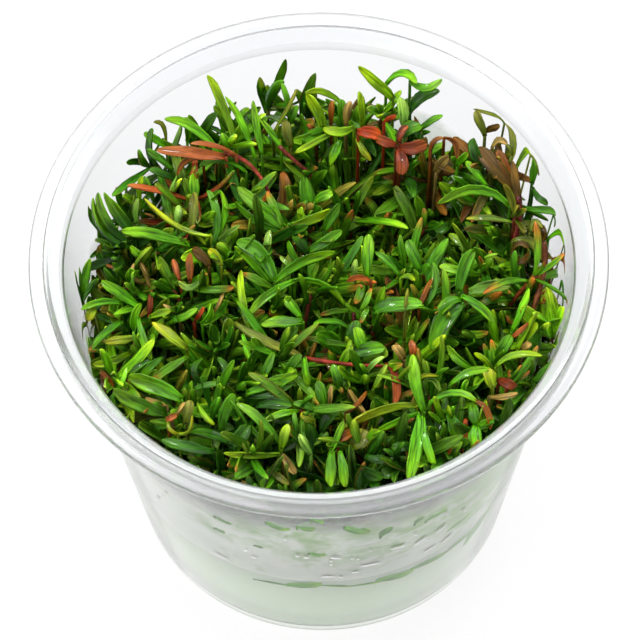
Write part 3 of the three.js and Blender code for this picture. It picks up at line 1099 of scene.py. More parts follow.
    "beside broad": ("bright", 9, 270, 283, 252, 262, 234, 246, 67, 69),
    "small brown tip": ("fire", 9, 273, 288, 257, 280, 242, 273, 67, 69),
    "lime upright": ("lime", 9, 250, 331, 243, 300, 241, 270, 67, 70),
    "arch to the left": ("bright", 9, 294, 281, 268, 295, 249, 315, 70, 69),
    "arch to the right": ("bright", 7, 290, 281, 322, 283, 345, 306, 70, 67),
    "broad to the right": ("bright", 12, 275, 281, 303, 261, 336, 252, 69, 71),
    "dark round tip": ("deep", 12, 307, 254, 301, 243, 293, 235, 67, 69),
    "dark beside": ("green", 9, 301, 266, 293, 254, 288, 241, 67, 69),
    "thin pale tip": ("pale", 5, 292, 268, 286, 263, 280, 256, 67, 68),
    "diagonal in shade": ("green", 11, 308, 251, 325, 242, 342, 230, 67, 69),
    "proud upright": ("bright", 12, 367, 278, 368, 256, 369, 234, 69, 73),
    "pale upright": ("pale", 8, 355, 280, 355, 270, 356, 259, 69, 72),
    "streaked red leaf": ("coral", 7, 371, 281, 358, 277, 347, 282, 70, 70),
    "pink tipped": ("fire", 7, 361, 310, 367, 300, 371, 288, 69, 71),
    "red tipped bud": ("fire", 9, 362, 283, 360, 293, 355, 304, 69, 70),
    "small with rust": ("fire", 6, 368, 307, 365, 314, 360, 323, 69, 69),
    "rust flecked": ("fire", 6, 350, 311, 335, 311, 320, 315, 68, 69),
    "low pointing left": ("green", 9, 349, 328, 332, 321, 313, 324, 67, 68),
    "glossy fold": ("bright", 10, 301, 318, 292, 306, 285, 297, 67, 69),
    "broad pale": ("bright", 13, 303, 322, 282, 322, 261, 325, 68, 69),
    "wide dark right": ("green", 17, 373, 312, 393, 305, 424, 305, 68, 69),
    "shoulder right": ("green", 8, 400, 276, 387, 261, 375, 252, 67, 69),
    # right
    "rounded finger": ("green", 12, 420, 271, 414, 256, 407, 240, 67, 70),
    "leaning broad": ("green", 14, 459, 292, 463, 270, 474, 249, 68, 71),
    "pale level leaf": ("pale", 14, 470, 292, 490, 286, 511, 285, 69, 70),
    "bright down right": ("fresh", 9, 462, 296, 479, 306, 495, 323, 69, 68),
    "widest leaf": ("green", 21, 463, 303, 445, 318, 431, 350, 69, 68),
    "widest leaf's twin": ("bright", 14, 460, 300, 448, 303, 440, 316, 69, 69),
    "rusty strap": ("rust", 7, 419, 309, 425, 294, 433, 277, 68, 70),
    "green strap": ("green", 9, 426, 305, 435, 285, 433, 262, 68, 70),
    "lime hook": ("lime", 6, 401, 278, 409, 276, 415, 281, 69, 69),
    "olive post": ("olive", 8, 404, 341, 406, 315, 408, 288, 66, 70),
    "right slant": ("fresh", 8, 512, 331, 521, 311, 529, 288, 67, 70),
    "right slant broad": ("lime", 12, 517, 350, 526, 330, 538, 311, 67, 70),
    "coral strand": ("coral", 5, 510, 338, 519, 332, 529, 322, 68, 70),
    "rim leaf": ("bright", 10, 541, 330, 553, 322, 563, 320, 67, 69),
    "lower rim leaf": ("lime", 14, 521, 344, 528, 334, 536, 322, 67, 69),
    # lower left
    "left strap": ("green", 11, 122, 322, 106, 333, 92, 350, 66, 66),
    "yellow strap": ("yellow", 9, 139, 337, 122, 340, 105, 342, 67, 67),
    "pointed strap": ("bright", 9, 138, 318, 143, 340, 152, 360, 68, 66),
    "yellow broad": ("yellow", 14, 187, 349, 170, 336, 152, 322, 67, 69),
    "level yellow": ("lime", 9, 131, 352, 112, 361, 93, 364, 65, 66),
    "thin pair one": ("green", 7, 151, 360, 138, 367, 129, 378, 66, 65),
    "thin pair two": ("green", 8, 162, 358, 151, 366, 141, 376, 66, 65),
    "rust pointed": ("fire", 9, 187, 357, 168, 369, 152, 381, 68, 68),
    "double leaf upper": ("bright", 17, 182, 400, 155, 386, 127, 377, 67, 68),
    "double leaf lower": ("bright", 16, 168, 413, 140, 404, 113, 389, 67, 68),
    "tan strip": ("tan", 5, 167, 406, 156, 402, 145, 398, 69, 69),
    "orange curl low": ("rust", 6, 101, 372, 108, 378, 114, 387, 66, 66),
    "thin rising": ("fresh", 6, 112, 397, 121, 384, 127, 367, 66, 69),
    "withered loop left": ("yellow", 4, 170, 416, 169, 428, 179, 434, 68, 67),
    "withered loop right": ("yellow", 4, 178, 434, 189, 431, 192, 415, 67, 69),
    "withered thread": ("tan", 4, 172, 419, 180, 411, 185, 402, 68, 69),
    "withered pink": ("coral", 7, 167, 418, 171, 418, 176, 414, 69, 69),
    "olive fold": ("olive", 11, 186, 424, 188, 412, 190, 400, 67, 69),
    "pale slip": ("lime", 6, 198, 404, 205, 416, 215, 425, 68, 68),
    "glossy slip": ("green", 7, 194, 389, 207, 385, 220, 384, 68, 69),
    "slanting broad": ("green", 13, 222, 431, 225, 411, 235, 394, 66, 69),
    "shaded broad": ("deep", 15, 229, 443, 210, 434, 190, 432, 66, 67),
    "low strap": ("deep", 12, 214, 452, 187, 447, 161, 440, 66, 67),
    "bright level": ("lime", 8, 279, 454, 252, 455, 223, 453, 68, 69),
    "ring leaf left": ("deep", 8, 205, 385, 194, 372, 203, 358, 66, 68),
    "ring leaf right": ("deep", 8, 214, 386, 226, 372, 217, 357, 66, 68),
    # lower middle
    "arch with rust": ("olive", 10, 235, 323, 263, 340, 303, 356, 69, 68),
    "hanging slip": ("fresh", 7, 243, 335, 247, 349, 251, 364, 69, 67),
    "post in shade": ("green", 9, 261, 384, 266, 370, 274, 352, 66, 69),
    "short slant": ("green", 10, 285, 374, 292, 364, 301, 354, 67, 69),
    "lime post": ("bright", 9, 305, 358, 306, 372, 309, 386, 69, 67),
    "gloss long leaf": ("bright", 12, 247, 393, 272, 383, 298, 375, 68, 69),
    "gloss leaf below": ("deep", 7, 247, 397, 270, 395, 294, 383, 67, 68),
    "round topped": ("green", 12, 323, 408, 322, 395, 317, 381, 67, 70),
    "tan post": ("tan", 5, 329, 409, 330, 397, 331, 385, 67, 70),
    "folded upright": ("green", 10, 341, 390, 337, 377, 333, 364, 66, 69),
    "tan cross one": ("tan", 7, 349, 389, 356, 401, 367, 415, 68, 68),
    "tan cross two": ("rust", 5, 346, 413, 356, 405, 367, 391, 68, 69),
    "maroon strap": ("maroon", 11, 386, 364, 396, 380, 394, 406, 69, 69),
    "slip by maroon": ("lime", 6, 373, 389, 380, 377, 387, 364, 68, 70),
    "pale hook": ("pale", 6, 367, 374, 374, 363, 385, 357, 68, 70),
    "broad upright": ("bright", 13, 362, 352, 360, 340, 356, 327, 68, 71),
    "broad level": ("green", 15, 350, 355, 367, 350, 385, 348, 68, 69),
    "rust tipped level": ("fire", 7, 353, 346, 325, 341, 301, 336, 68, 69),
    "long slant": ("bright", 10, 280, 442, 259, 419, 236, 403, 68, 70),
    "blunt deep": ("deep", 12, 257, 406, 274, 404, 292, 406, 67, 68),
    "blunt deep below": ("deep", 11, 263, 416, 277, 419, 291, 417, 66, 67),
    "blunt right": ("green", 9, 320, 413, 307, 406, 293, 403, 67, 69),
    "brown bud": ("yellow", 9, 314, 421, 308, 418, 301, 413, 69, 70),
    "thin upright": ("green", 6, 298, 438, 296, 425, 294, 412, 66, 69),
    "bright stub": ("lime", 10, 281, 449, 284, 437, 288, 424, 68, 71),
    "shaded slip": ("deep", 6, 270, 448, 260, 438, 251, 425, 66, 68),
    "round shade": ("deep", 15, 232, 447, 240, 437, 250, 425, 66, 68),
    "pale stub": ("pale", 9, 311, 455, 305, 445, 299, 434, 67, 70),
    "withered tan": ("tan", 9, 283, 455, 289, 465, 296, 474, 68, 67),
    "withered base": ("olive", 8, 268, 471, 278, 477, 289, 485, 67, 67),
    "pale finger one": ("bright", 13, 332, 452, 331, 470, 331, 487, 69, 68),
    "pale finger two": ("bright", 10, 340, 452, 343, 469, 345, 487, 70, 68),
    "stem leaf": ("bright", 7, 329, 454, 337, 437, 343, 421, 68, 71),
    "rust leaf": ("rust", 9, 338, 441, 345, 436, 353, 432, 69, 69),
    "round brown": ("olive", 19, 350, 447, 359, 440, 366, 430, 67, 68),
    "long to the star": ("yellow", 11, 417, 405, 377, 411, 344, 430, 69, 69),
    "slip to the star": ("fresh", 8, 418, 413, 398, 421, 377, 431, 70, 68),
    "star broad": ("fresh", 14, 420, 416, 416, 446, 409, 482, 70, 68),
    "star narrow": ("fresh", 9, 423, 418, 427, 446, 436, 465, 70, 68),
    "dark broad low": ("deep", 17, 356, 466, 370, 473, 384, 477, 65, 66),
    "dark level low": ("deep", 10, 366, 456, 379, 460, 392, 460, 67, 67),
    "shade broad": ("deep", 13, 322, 432, 328, 418, 339, 409, 66, 68),
    "corner leaf": ("green", 13, 258, 462, 247, 469, 235, 478, 66, 67),
    "corner bright": ("fresh", 12, 274, 472, 268, 481, 262, 490, 67, 66),
    # lower right
    "brown curled bud": ("tan", 14, 404, 360, 399, 352, 394, 345, 68, 70),
    "pink bud": ("coral", 8, 413, 357, 413, 349, 411, 340, 69, 71),
    "tall glossy": ("bright", 13, 424, 412, 415, 384, 413, 354, 68, 71),
    "thin arch low": ("yellow", 5, 416, 392, 420, 377, 439, 376, 68, 70),
    "thin arch twin": ("pale", 6, 424, 381, 434, 380, 440, 392, 69, 67),
    "deep slant": ("bright", 9, 473, 369, 459, 360, 447, 345, 67, 69),
    "lime slip": ("lime", 8, 493, 371, 485, 360, 474, 353, 68, 70),
    "lime double": ("bright", 9, 450, 385, 468, 373, 491, 369, 68, 69),
    "long level lime": ("lime", 8, 496, 367, 515, 355, 543, 356, 68, 70),
    "short post": ("fresh", 7, 463, 394, 464, 386, 468, 380, 68, 70),
    "brown ended arch": ("bright", 9, 430, 403, 455, 393, 478, 403, 69, 70),
    "brown arch end": ("rust", 7, 475, 401, 487, 411, 490, 430, 70, 68),
    "brown broad": ("maroon", 11, 499, 379, 508, 384, 517, 386, 67, 68),
    "tan level": ("tan", 7, 489, 397, 504, 397, 518, 393, 67, 69),
    "olive broad": ("yellow", 13, 493, 388, 490, 378, 487, 368, 67, 69),
    "coin leaf": ("green", 19, 450, 414, 454, 425, 457, 437, 68, 67),
    "coin stalk": ("lime", 4, 452, 417, 450, 412, 448, 405, 68, 69),
    "scarlet dot": ("scarlet", 5, 464, 429, 465, 424, 466, 419, 68, 69),
    "leafy star one": ("green", 12, 476, 425, 474, 414, 472, 402, 68, 69),
    "leafy star two": ("lime", 10, 478, 424, 483, 413, 486, 400, 68, 69),
    "leafy star three": ("fresh", 14, 476, 426, 475, 437, 477, 449, 68, 67),
    "leafy star four": ("bright", 10, 478, 426, 485, 424, 494, 418, 68, 68),
    "orange low": ("rust", 8, 459, 441, 465, 438, 471, 436, 67, 67),
    "rim slip": ("green", 9, 533, 381, 543, 373, 555, 361, 65, 67),
    "wide right low": ("green", 12, 497, 356, 504, 347, 511, 335, 67, 69),
    "tan bud right": ("tan", 8, 522, 350, 526, 346, 531, 343, 67, 68),
    "dark right": ("deep", 12, 414, 445, 403, 447, 391, 447, 66, 67),
    "dark right low": ("deep", 13, 399, 462, 391, 470, 381, 476, 65, 66),
    "brown in the corner": ("rust", 7, 446, 455, 453, 450, 461, 446, 65, 66),
    "rim corner": ("bright", 8, 452, 463, 455, 453, 462, 441, 65, 68),
}

# Stems that can be told apart: radius in millimetres, colour, points in pixels, and their heights
SEEN_STEMS = {
    "red stem back left": (0.45, "8a3a2a", 224, 153, 250, 165, 269, 193, 72, 67),
    "maroon stem back": (0.4, "6e2c20", 279, 146, 295, 161, 311, 174, 72, 68),
    "right dark stem": (0.7, "5a1f14", 518, 196, 519, 220, 514, 240, 72, 67),
    "right lower stem": (0.65, "6a3a1e", 543, 242, 544, 270, 532, 312, 71, 66),
    "level maroon stem": (0.4, "8a3020", 305, 358, 346, 364, 388, 366, 68, 68),
    "red short stem": (0.4, "4a1418", 354, 313, 354, 320, 355, 328, 69, 67),
}

# Leaves that touch the near wall: tone, how tall in pixels, and two ends in pixels
WALL_LEAVES = {
    "lens": ("bright", 7, 266, 522, 290, 531),
    "oval": ("bright", 9, 297, 527, 316, 528),
    "long lens": ("bright", 7, 344, 527, 369, 533),
    "slash": ("green", 5, 380, 537, 389, 527),
    "low oval": ("bright", 6, 309, 553, 326, 555),
    "thin": ("bright", 3, 311, 519, 324, 524),
    "left lens": ("green", 5, 215, 516, 233, 525),
    "left small": ("green", 5, 215, 528, 226, 532),
    "left low": ("green", 3, 255, 545, 264, 548),
    "right small": ("green", 4, 414, 524, 421, 517),
    "right slant": ("bright", 5, 425, 521, 446, 508),
    "right slant below": ("bright", 5, 446, 531, 470, 512),
    "right tall": ("bright", 8, 462, 545, 488, 505),
    "gel sliver": ("bright", 8, 286, 585, 322, 583),
    "gel thread": ("bright", 2, 320, 585, 352, 586),
    "gel thread on": ("bright", 2, 350, 586, 382, 581),
    "right sliver": ("bright", 9, 376, 580, 413, 570),
    "right sliver on": ("bright", 6, 410, 569, 445, 552),
    "right sliver far": ("bright", 6, 443, 553, 476, 524),
    "left thread": ("green", 2, 255, 579, 288, 585),
}

# Drops and runs of water on the near wall: how tall in pixels, and two ends in pixels
DROPS = {
    "dot": (1.4, 283, 540, 287, 540),
    "dash": (1.4, 295, 556, 300, 557),
    "dash beside": (1.4, 303, 558, 310, 558),
    "middle dash": (1.8, 330, 558, 341, 559),
    "dot below": (1.4, 329, 562, 333, 562),
    "dot lower": (1.4, 329, 565, 333, 565),
    "low dash": (1.8, 321, 577, 335, 577),
    "low dot": (1.4, 339, 577, 343, 578),
    "small dash": (1.4, 352, 573, 359, 572),
    "run": (1.8, 360, 567, 381, 563),
    "dot right": (1.1, 369, 551, 373, 551),
    "dot left of it": (1.1, 350, 559, 354, 559),
    "dot between": (1.1, 356, 560, 360, 559),
    "left dash": (1.4, 250, 557, 258, 559),
    "left dot": (1.1, 244, 551, 248, 551),
    "left run": (1.4, 213, 552, 228, 560),
    "right run": (1.8, 390, 550, 407, 545),
    "right run two": (1.8, 414, 546, 429, 536),
    "right run three": (1.4, 424, 553, 437, 545),
    "right dot": (1.4, 414, 536, 419, 534),
    "right dot two": (1.4, 426, 541, 430, 539),
    "far run": (1.4, 436, 534, 448, 524),
    "far run two": (1.4, 440, 545, 454, 533),
    "high dot": (1.4, 446, 516, 450, 513),
    "high dot two": (1.4, 463, 513, 468, 509),
    "far left": (1.4, 147, 472, 151, 475),
    "far left two": (1.4, 154, 497, 158, 501),
    "far left three": (1.4, 161, 493, 165, 497),
}


# How much a leaf's tone may differ from its kind's, in lightness and in warmth
LIFTED = (0.9, 1.4)
WARMED = (-0.12, 0.12)

# Chances of a shoot with short broad leaves, and of a leaf that is lost, withered, brown along its
# edge or rusted at its tip
BROAD_SHOOT = 0.16
LOST_LEAF = 0.08
WITHERED_LEAF = 0.05
BROWN_EDGE = 0.12
RUSTED_LEAF = 0.07


def tone(kind, draw):
    """Body and tip colour of one leaf of a kind, a little lighter or warmer by chance."""
    body, tip = TONES[kind][int(draw.random() * len(TONES[kind]))]
    lift = draw.uniform(*LIFTED)
    warm = draw.uniform(*WARMED)
    shift = np.array([1 + warm, 1.0, 1 - warm])
    return np.array(linear(body)) * lift * shift, np.array(linear(tip)) * lift * shift


def across_of(direction, draw):
    """Two directions square to a stem, turned by chance."""
    start = Vector((0.2, 0.3, 1)) if abs(direction.z) < 0.9 else Vector((1, 0, 0))
    a = direction.cross(start).normalized()
    b = direction.cross(a)
    turn = draw.uniform(0, 2 * math.pi)
    return a * math.cos(turn) + b * math.sin(turn), b * math.cos(turn) - a * math.sin(turn)


def grow_shoot(
    growth,
    draw,
    tip,
    kind="green",
    lean=0.35,
    pairs=6,
    deep=3,
    size=1.0,
    turn=None,
    shade=0.45,
    share=FOOT_SHARE,
):
    """A stem out of the gel with crossed pairs of leaves, close and steep at its tip."""
    foot = Vector((tip.x * share, tip.y * share, GEL_TOP - SINK))
    foot += Vector((draw.uniform(-2, 2), draw.uniform(-2, 2), 0))
    nod = Vector((draw.gauss(0, lean), draw.gauss(0, lean), 1)).normalized()
    length = (tip - foot).length
    bend = tip - nod * length * 0.45
    bend.z = max(bend.z, GEL_TOP + 4)
    stem_tone = STEM_TONES.get(kind) or draw.choice(GREEN_STEMS)
    radius = draw.uniform(0.45, 0.65) * size
    growth.stem(foot, bend, tip, radius, np.array(linear(stem_tone)))

    def place(t):
        return foot * (1 - t) ** 2 + bend * 2 * t * (1 - t) + tip * t * t

    def heading(t):
        return ((bend - foot) * (1 - t) + (tip - bend) * t).normalized()

    a, b = across_of(heading(1.0), draw)
    if turn is not None:
        a = Vector((math.cos(turn), math.sin(turn), 0))
        b = Vector((-math.sin(turn), math.cos(turn), 0))
    # every shoot has leaves of its own kind: most are strap-like, some short and broad
    broad = draw.random() < BROAD_SHOOT
    long = draw.uniform(9.0, 11.5) if broad else draw.uniform(10.5, 14.5)
    wide = draw.uniform(2.6, 3.4) if broad else draw.uniform(1.6, 2.3)
    arch = draw.gauss(0.45, 0.35)
    down = 0.3
    for pair in range(pairs + deep):
        age = pair / max(pairs - 1, 1)
        t = max(1 - down / length, 0.05)
        axis = heading(t)
        spot = place(t)
        out = a if pair % 2 == 0 else b
        out = (out - axis * out.dot(axis)).normalized()
        steep = between(1.4, 0.4, min(age * 1.3, 1.2)) + draw.gauss(0, 0.2)
        reach = between(0.55, 1.0, min(pair / 2, 1)) * size
        for way in (1, -1):
            if pair > 1 and draw.random() < LOST_LEAF:
                continue
            withered = pair > 1 and draw.random() < WITHERED_LEAF
            body, end = tone("tan" if withered else kind, draw)
            # painted shade: leaves lower down the shoot are darker, and the deep leaves are scaled by shade,
            # which is painted shade inside the crowd and painted light along the wall
            painted_light_level = between(0.85, 0.72, min(age, 1.0)) if pair < pairs else shade
            o = (out * way + axis.cross(out) * draw.gauss(0, 0.25)).normalized()
            rise = steep + draw.gauss(0, 0.2)
            growth.leaf(
                spot + o * radius * 0.5,
                o * math.cos(rise) + axis * math.sin(rise),
                axis * math.cos(rise) - o * math.sin(rise),
                length=long * draw.uniform(0.75, 1.15) * reach,
                width=wide * draw.uniform(0.85, 1.15) * between(0.75, 1.0, min(pair / 2, 1)) * size,
                bend=draw.uniform(1.5, 3.0) if withered else (arch + draw.gauss(0, 0.3)) * min(age * 1.5, 1),
                hook=draw.uniform(0.5, 1.5) if withered else draw.gauss(0, 0.3),
                sweep=draw.gauss(0, 0.35),
                twist=draw.gauss(0, 1.5 if withered else 0.5),
                trough=draw.uniform(0.25, 0.6),
                thick=draw.uniform(0.4, 0.65),
                sharp=draw.uniform(1.5, 2.8),
                point=draw.uniform(0.5, 0.7),
                base=tuple(body * painted_light_level),
                tip=tuple(end * painted_light_level),
                tip_from=draw.uniform(0.4, 0.8),
                edge=0.5 if draw.random() < BROWN_EDGE else 0.0,
                rib=draw.uniform(0.7, 1.8),
                rim=draw.uniform(0.5, 1.2),
                wave=draw.uniform(0, 6),
                burn=0.8 if draw.random() < RUSTED_LEAF else 0.0,
            )
        down += between(0.8, 3.2, min(pair / 2, 1)) * draw.uniform(0.8, 1.25)
        if pair >= pairs:
            down += 1.5


def standing_places():
    """Stem tips and turns of the shoots that stand out, as the solids have them."""
    places = [(Vector(at), turn, kind) for at, turn, kind in TALL]
    for i in range(STANDING):
        r = SPREAD_R * math.sqrt((i + 0.5) / STANDING)
        heading = i * GOLDEN + 0.9
        height = TIP_HEIGHT - TIP_DROP * (r / SPREAD_R) ** 2 + TIP_WAVE * math.sin(3 * heading + 0.5)
        z = height + between(-1.5, 2, chance(i, 2))
        at = Vector((r * math.cos(heading), r * math.sin(heading), z))
        near = any(math.hypot(at.x - p.x, at.y - p.y) < APART for p, *_ in places)
        if not near:
            places.append((at, math.pi * chance(i, 3), "green"))
    return places


class Shoots:
    """The meshes that the shoots go into: one for each solid shoot, and slices of the crowd."""

    def __init__(self, nodes):
        places = standing_places()
        self.standing = {}
        for node in sorted(nodes):
            low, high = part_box(node)
            middle = (low + high) / 2 / MM
            place = min(places, key=lambda p: math.hypot(p[0].x - middle.x, p[0].y - middle.y))
            self.standing[node] = (place, Growth())
        self.slices = [Growth() for _ in range(CROWD_PIECES)]
        self.touching = Growth()

    def slice_at(self, point):
        heading = math.atan2(point.y, point.x) % (2 * math.pi)
        return self.slices[int(heading / (2 * math.pi) * CROWD_PIECES) % CROWD_PIECES]

    def nearest(self, point):
        """The mesh of the solid shoot beside a point, or the crowd's where none is near."""

        def away(shoot):
            (at, _, _), _ = shoot
            return math.hypot(at.x - point.x, at.y - point.y)

        closest = min(self.standing.values(), key=away)
        return closest[1] if away(closest) < BESIDE else self.slice_at(point)

    def finish(self, material):
        for node, (_, growth) in self.standing.items():
            piece_of(growth.mesh(node), "rotala_" + node, [material], [node])
        for i, growth in enumerate(self.slices):
            name = "rotala_crowd_" + str(i + 1)
            piece_of(growth.mesh(name), name, [material], ["shoot_mat"])
        name = "rotala_on_the_wall"
        piece_of(self.touching.mesh(name, pressed=False), name, [material], ["shoot_mat"])


def sunk(tip, depth):
    """How far a shoot lies lower where the crowd has its shaded hollow."""
    hollow = seen(*HOLLOW, TIP_HEIGHT)
    away = math.hypot(tip.x - hollow.x, tip.y - hollow.y) / HOLLOW_R
    return Vector((0, 0, depth * float(1 - smooth(0.4, 1.0, away))))


def standing_shoots(shoots):
    """One detailed shoot for each solid one; the tallest leave room for the leaves that are seen."""
    for i, ((tip, turn, kind), growth) in enumerate(shoots.standing.values()):
        draw = random.Random(100 + i)
        tall = tip.z > TALL_TIP
        top = tip - Vector((0, 0, 3.0 if tall else 2.0)) - sunk(tip, STANDING_HOLLOW)
        grow_shoot(growth, draw, top, kind, lean=0.25, turn=turn, pairs=4 if tall else 6, size=0.9)


def crowd(shoots):
    """The crowded shoots below; those along the wall keep their leaves further down."""
    draw = random.Random(11)
    for i in range(CROWD):
        r = CROWD_R * math.sqrt((i + 0.5) / CROWD)
        heading = i * GOLDEN + 2.1
        tip = Vector((r * math.cos(heading), r * math.sin(heading), 0))
        tip += Vector((draw.uniform(-1.8, 1.8), draw.uniform(-1.8, 1.8), 0))
        tip.z = draw.uniform(*CROWD_TIPS)
        kind = "green"
        if draw.random() < COLOURED:
            kind = draw.choice(["olive", "orange", "brown", "lime", "dark", "dark"])
        # painted shade: near the front rim the crowd's leaves get the dark tone
        if tip.y < SHADED_FRONT:
            kind = "dark"
        tip -= sunk(tip, CROWD_HOLLOW)
        by_wall = r > CROWD_R - WALL_BELT
        grow_shoot(
            shoots.slice_at(tip),
            draw,
            tip,
            kind,
            lean=0.4 if by_wall else 0.7,
            pairs=6,
            deep=8 if by_wall else 3,
            # painted light on the deep leaves along the wall, which are lit through it; painted shade on
            # those inside the crowd
            shade=1.5 if by_wall else 0.45,
            share=WALL_SHARE if by_wall else FOOT_SHARE,
        )


def seen_leaves(shoots):
    """The leaves and stems of the photograph, each carried by a stem that comes up out of the gel."""
    draw = random.Random(7)
    eye = camera_place()

    def rise_to(growth, top, radius, colour):
        root = Vector((top.x * FOOT_SHARE, top.y * FOOT_SHARE, GEL_TOP - SINK))
        bend = Vector((top.x, top.y, between(root.z, top.z, 0.55)))
        growth.stem(root, bend, top, radius, colour)

    for kind, width, *spots, low, high in SEEN_LEAVES.values():
        start = seen(*spots[:2], low)
        halfway = seen(*spots[2:4], (low + high) / 2 + SEEN_ARCH)
        end = seen(*spots[4:], high)
        growth = shoots.nearest(start)
        near = (eye - halfway).length
        roll = Matrix.Rotation(draw.gauss(0, 0.35), 3, (end - start).normalized())
        facing = roll @ (eye - halfway).normalized()
        body, point = (np.array(linear(c)) * SEEN_SHADE for c in SEEN_TONES[kind])
        growth.leaf_through(
            start,
            halfway,
            end,
            facing,
            width=width * near / LENS_PX,
            thick=draw.uniform(0.45, 0.7),
            trough=draw.uniform(0.35, 0.75),
            stalk=0.5,
            sharp=draw.uniform(1.5, 2.6),
            point=draw.uniform(0.5, 0.72),
            twist=draw.gauss(0, 0.4),
            rib=draw.uniform(0.7, 1.7),
            rim=draw.uniform(0.5, 1.1),
            wave=draw.uniform(0, 6),
            base=tuple(body * draw.uniform(0.75, 1.1)),
            tip=tuple(point * draw.uniform(0.8, 1.1)),
            tip_from=0.7 if kind == "fire" else 0.35,
        )
        rise_to(growth, start, 0.4, body * 0.8)
    for radius, colour, *spots, low, high in SEEN_STEMS.values():
        start = seen(*spots[:2], low)
        halfway = seen(*spots[2:4], (low + high) / 2)
        end = seen(*spots[4:], high)
        growth = shoots.nearest(end)
        shade = np.array(linear(colour))
        growth.stem(start, halfway * 2 - (start + end) / 2, end, radius, shade)
        rise_to(growth, end, radius, shade)


def wall_leaves(shoots):
    """Leaves that lie flat against the wall and show through its fog."""

    def flattened(kind, width, start, halfway, end):
        outward = Vector((halfway.x, halfway.y, 0)).normalized()
        body, point = (np.array(linear(c)) * LIVE_GREEN for c in SEEN_TONES[kind])
        shoots.touching.leaf_through(
            start,
            halfway,
            end,
            outward,
            width=width,
            thick=WET_CONTACT * 2,
            trough=0.0,
            stalk=0.3,
            point=0.6,
            base=tuple(body),
            tip=tuple(point),
        )
        root = Vector((start.x * FOOT_SHARE, start.y * FOOT_SHARE, GEL_TOP - SINK))
        bend = Vector((start.x * WALL_SHARE, start.y * WALL_SHARE, between(root.z, start.z, 0.6)))
        shoots.touching.stem(root, bend, start, 0.4, body * 0.8)

    for kind, tall, x0, y0, x1, y1 in WALL_LEAVES.values():
        y0, y1 = y0 - WALL_LIFT, y1 - WALL_LIFT
        spots = on_wall(x0, y0), on_wall((x0 + x1) / 2, (y0 + y1) / 2), on_wall(x1, y1)
        flattened(kind, tall / WALL_PX, *spots)
    draw = random.Random(23)
    for i in range(FAR_LEAVES):
        heading = between(*FAR_SIDES, (i + draw.random()) / FAR_LEAVES)
        if i % 4:
            height = between(GEL_TOP + 4, FOG_TOP[1] - 4, math.sqrt(draw.random()))
            reach = draw.uniform(1.4, 3.2)
            tilt = draw.uniform(0, math.pi)
            width = draw.uniform(1.4, 3.6)
        else:
            height = GEL_TOP + draw.uniform(0.6, 1.4)
            reach = draw.uniform(2.5, 7.0)
            tilt = draw.gauss(0, 0.08)
            width = draw.uniform(0.8, 2.2)
        spots = []
        for share in (-1, 0, 1):
            z = height + reach * share * math.sin(tilt)
            r = float(wall_inner(z))
            turn = heading + reach * share * math.cos(tilt) / r
            spots.append(Vector((r * math.cos(turn), r * math.sin(turn), z)))
        flattened(draw.choice(["bright", "green", "fresh", "green"]), width, *spots)


def water_drops(material):
    """Condensed drops that run down the near wall, flat against it."""
    bm = bmesh.new()
    for tall, x0, y0, x1, y1 in DROPS.values():
        start = on_wall(x0, y0, WALL + DROP_DEPTH)
        end = on_wall(x1, y1, WALL + DROP_DEPTH)
        middle = (start + end) / 2
        outward = Vector((middle.x, middle.y, -math.hypot(middle.x, middle.y) * WALL_DRAFT)).normalized()
        along = (end - start).normalized()
        across = outward.cross(along).normalized()
        turn = Matrix((along, across, along.cross(across))).transposed().to_4x4()
        size = Matrix.Diagonal(((end - start).length / 2, tall / WALL_PX / 2, DROP_DEPTH, 1))
        place = Matrix.Translation(middle * MM) @ turn @ size @ Matrix.Scale(MM, 4)
        bmesh.ops.create_uvsphere(bm, u_segments=16, v_segments=10, radius=1.0, matrix=place)
    return piece_of(mesh_from(bm, "water_drops"), "water_drops", [material])


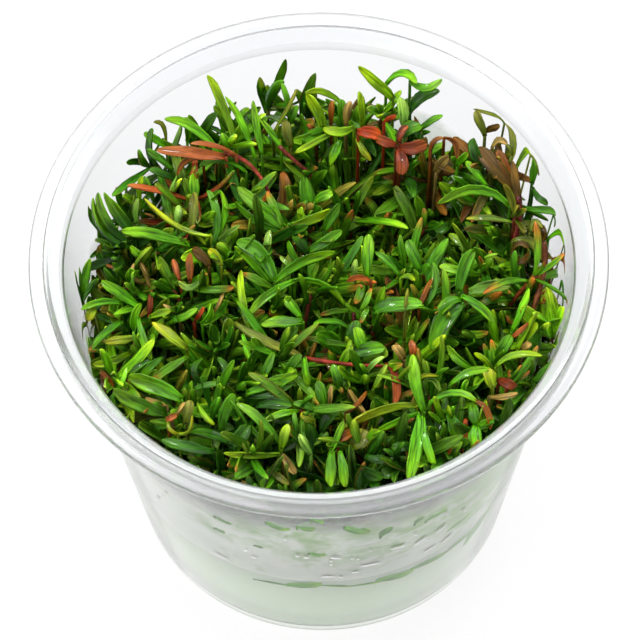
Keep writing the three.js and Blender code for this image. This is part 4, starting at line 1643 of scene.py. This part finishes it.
def studio():
    """A plain pale floor, a white room that is lighter on the left, and three soft lamps."""
    bm = bmesh.new()
    bmesh.ops.create_grid(bm, x_segments=1, y_segments=1, size=3.0)
    floor = bpy.data.objects.new("sweep", mesh_from(bm, "sweep"))
    floor.data.materials.append(studio_white())
    bpy.context.scene.collection.objects.link(floor)

    world = bpy.data.worlds.new("white_room")
    bpy.context.scene.world = world
    world.use_nodes = True
    sky = world.node_tree
    way = add_node(sky, "ShaderNodeTexCoord")
    height = add_node(sky, "ShaderNodeSeparateXYZ", links={"Vector": way.outputs["Generated"]})
    glow = add_node(
        sky,
        "ShaderNodeMapRange",
        {"From Min": 0.0, "From Max": 0.6, "To Min": HORIZON, "To Max": ZENITH},
        {"Value": height.outputs["Z"]},
    )
    window = add_node(
        sky,
        "ShaderNodeMapRange",
        {"From Min": 0.2, "From Max": -0.9, "To Min": 1.0, "To Max": WINDOW},
        {"Value": height.outputs["X"]},
    )
    strength = add_node(
        sky,
        "ShaderNodeMath",
        {"operation": "MULTIPLY"},
        {0: glow.outputs["Result"], 1: window.outputs["Result"]},
    )
    sky.links.new(strength.outputs["Value"], sky.nodes["Background"].inputs["Strength"])
    sky.nodes["Background"].inputs["Color"].default_value = (1, 1, 1, 1)

    for name, place, size, power in (
        ("softbox_left", (-0.4, -0.1, 0.85), 0.6, 3.0),
        ("bright_lamp", (-0.15, 0.2, 0.9), 0.1, 4.0),
        ("softbox_back", (0.3, 0.5, 0.8), 0.5, 5.0),
    ):
        light = bpy.data.lights.new(name, "AREA")
        light.size = size
        light.energy = power
        lamp = bpy.data.objects.new(name, light)
        lamp.location = place
        aim = Vector(LAMP_AIM) - Vector(place)
        lamp.rotation_euler = aim.to_track_quat("-Z", "Y").to_euler()
        bpy.context.scene.collection.objects.link(lamp)


def camera():
    """The camera of the photograph: far off, with a long lens."""
    data = bpy.data.cameras.new("photograph")
    data.sensor_width = SENSOR
    data.lens = LENS_PX / PHOTO * SENSOR
    eye = bpy.data.objects.new("photograph", data)
    eye.matrix_world = Matrix.Translation(camera_place() * MM) @ camera_turn().to_4x4()
    bpy.context.scene.collection.objects.link(eye)
    bpy.context.scene.camera = eye


def main():
    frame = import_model()
    camera()
    studio()
    leaf_matter = rotala_tissue()
    cup(
        clear_polypropylene(),
        fogged_polypropylene(),
        milky_polypropylene(),
        thin_polypropylene(),
        painted_highlight_polypropylene(),
    )
    gel(culture_gel())
    shoots = Shoots([n for n in frame["nodes"] if n.startswith("shoot_") and n != "shoot_mat"])
    standing_shoots(shoots)
    crowd(shoots)
    seen_leaves(shoots)
    wall_leaves(shoots)
    shoots.finish(leaf_matter)
    water_drops(water_with_painted_glint())
    bpy.context.scene.view_settings.view_transform = "Standard"


main()
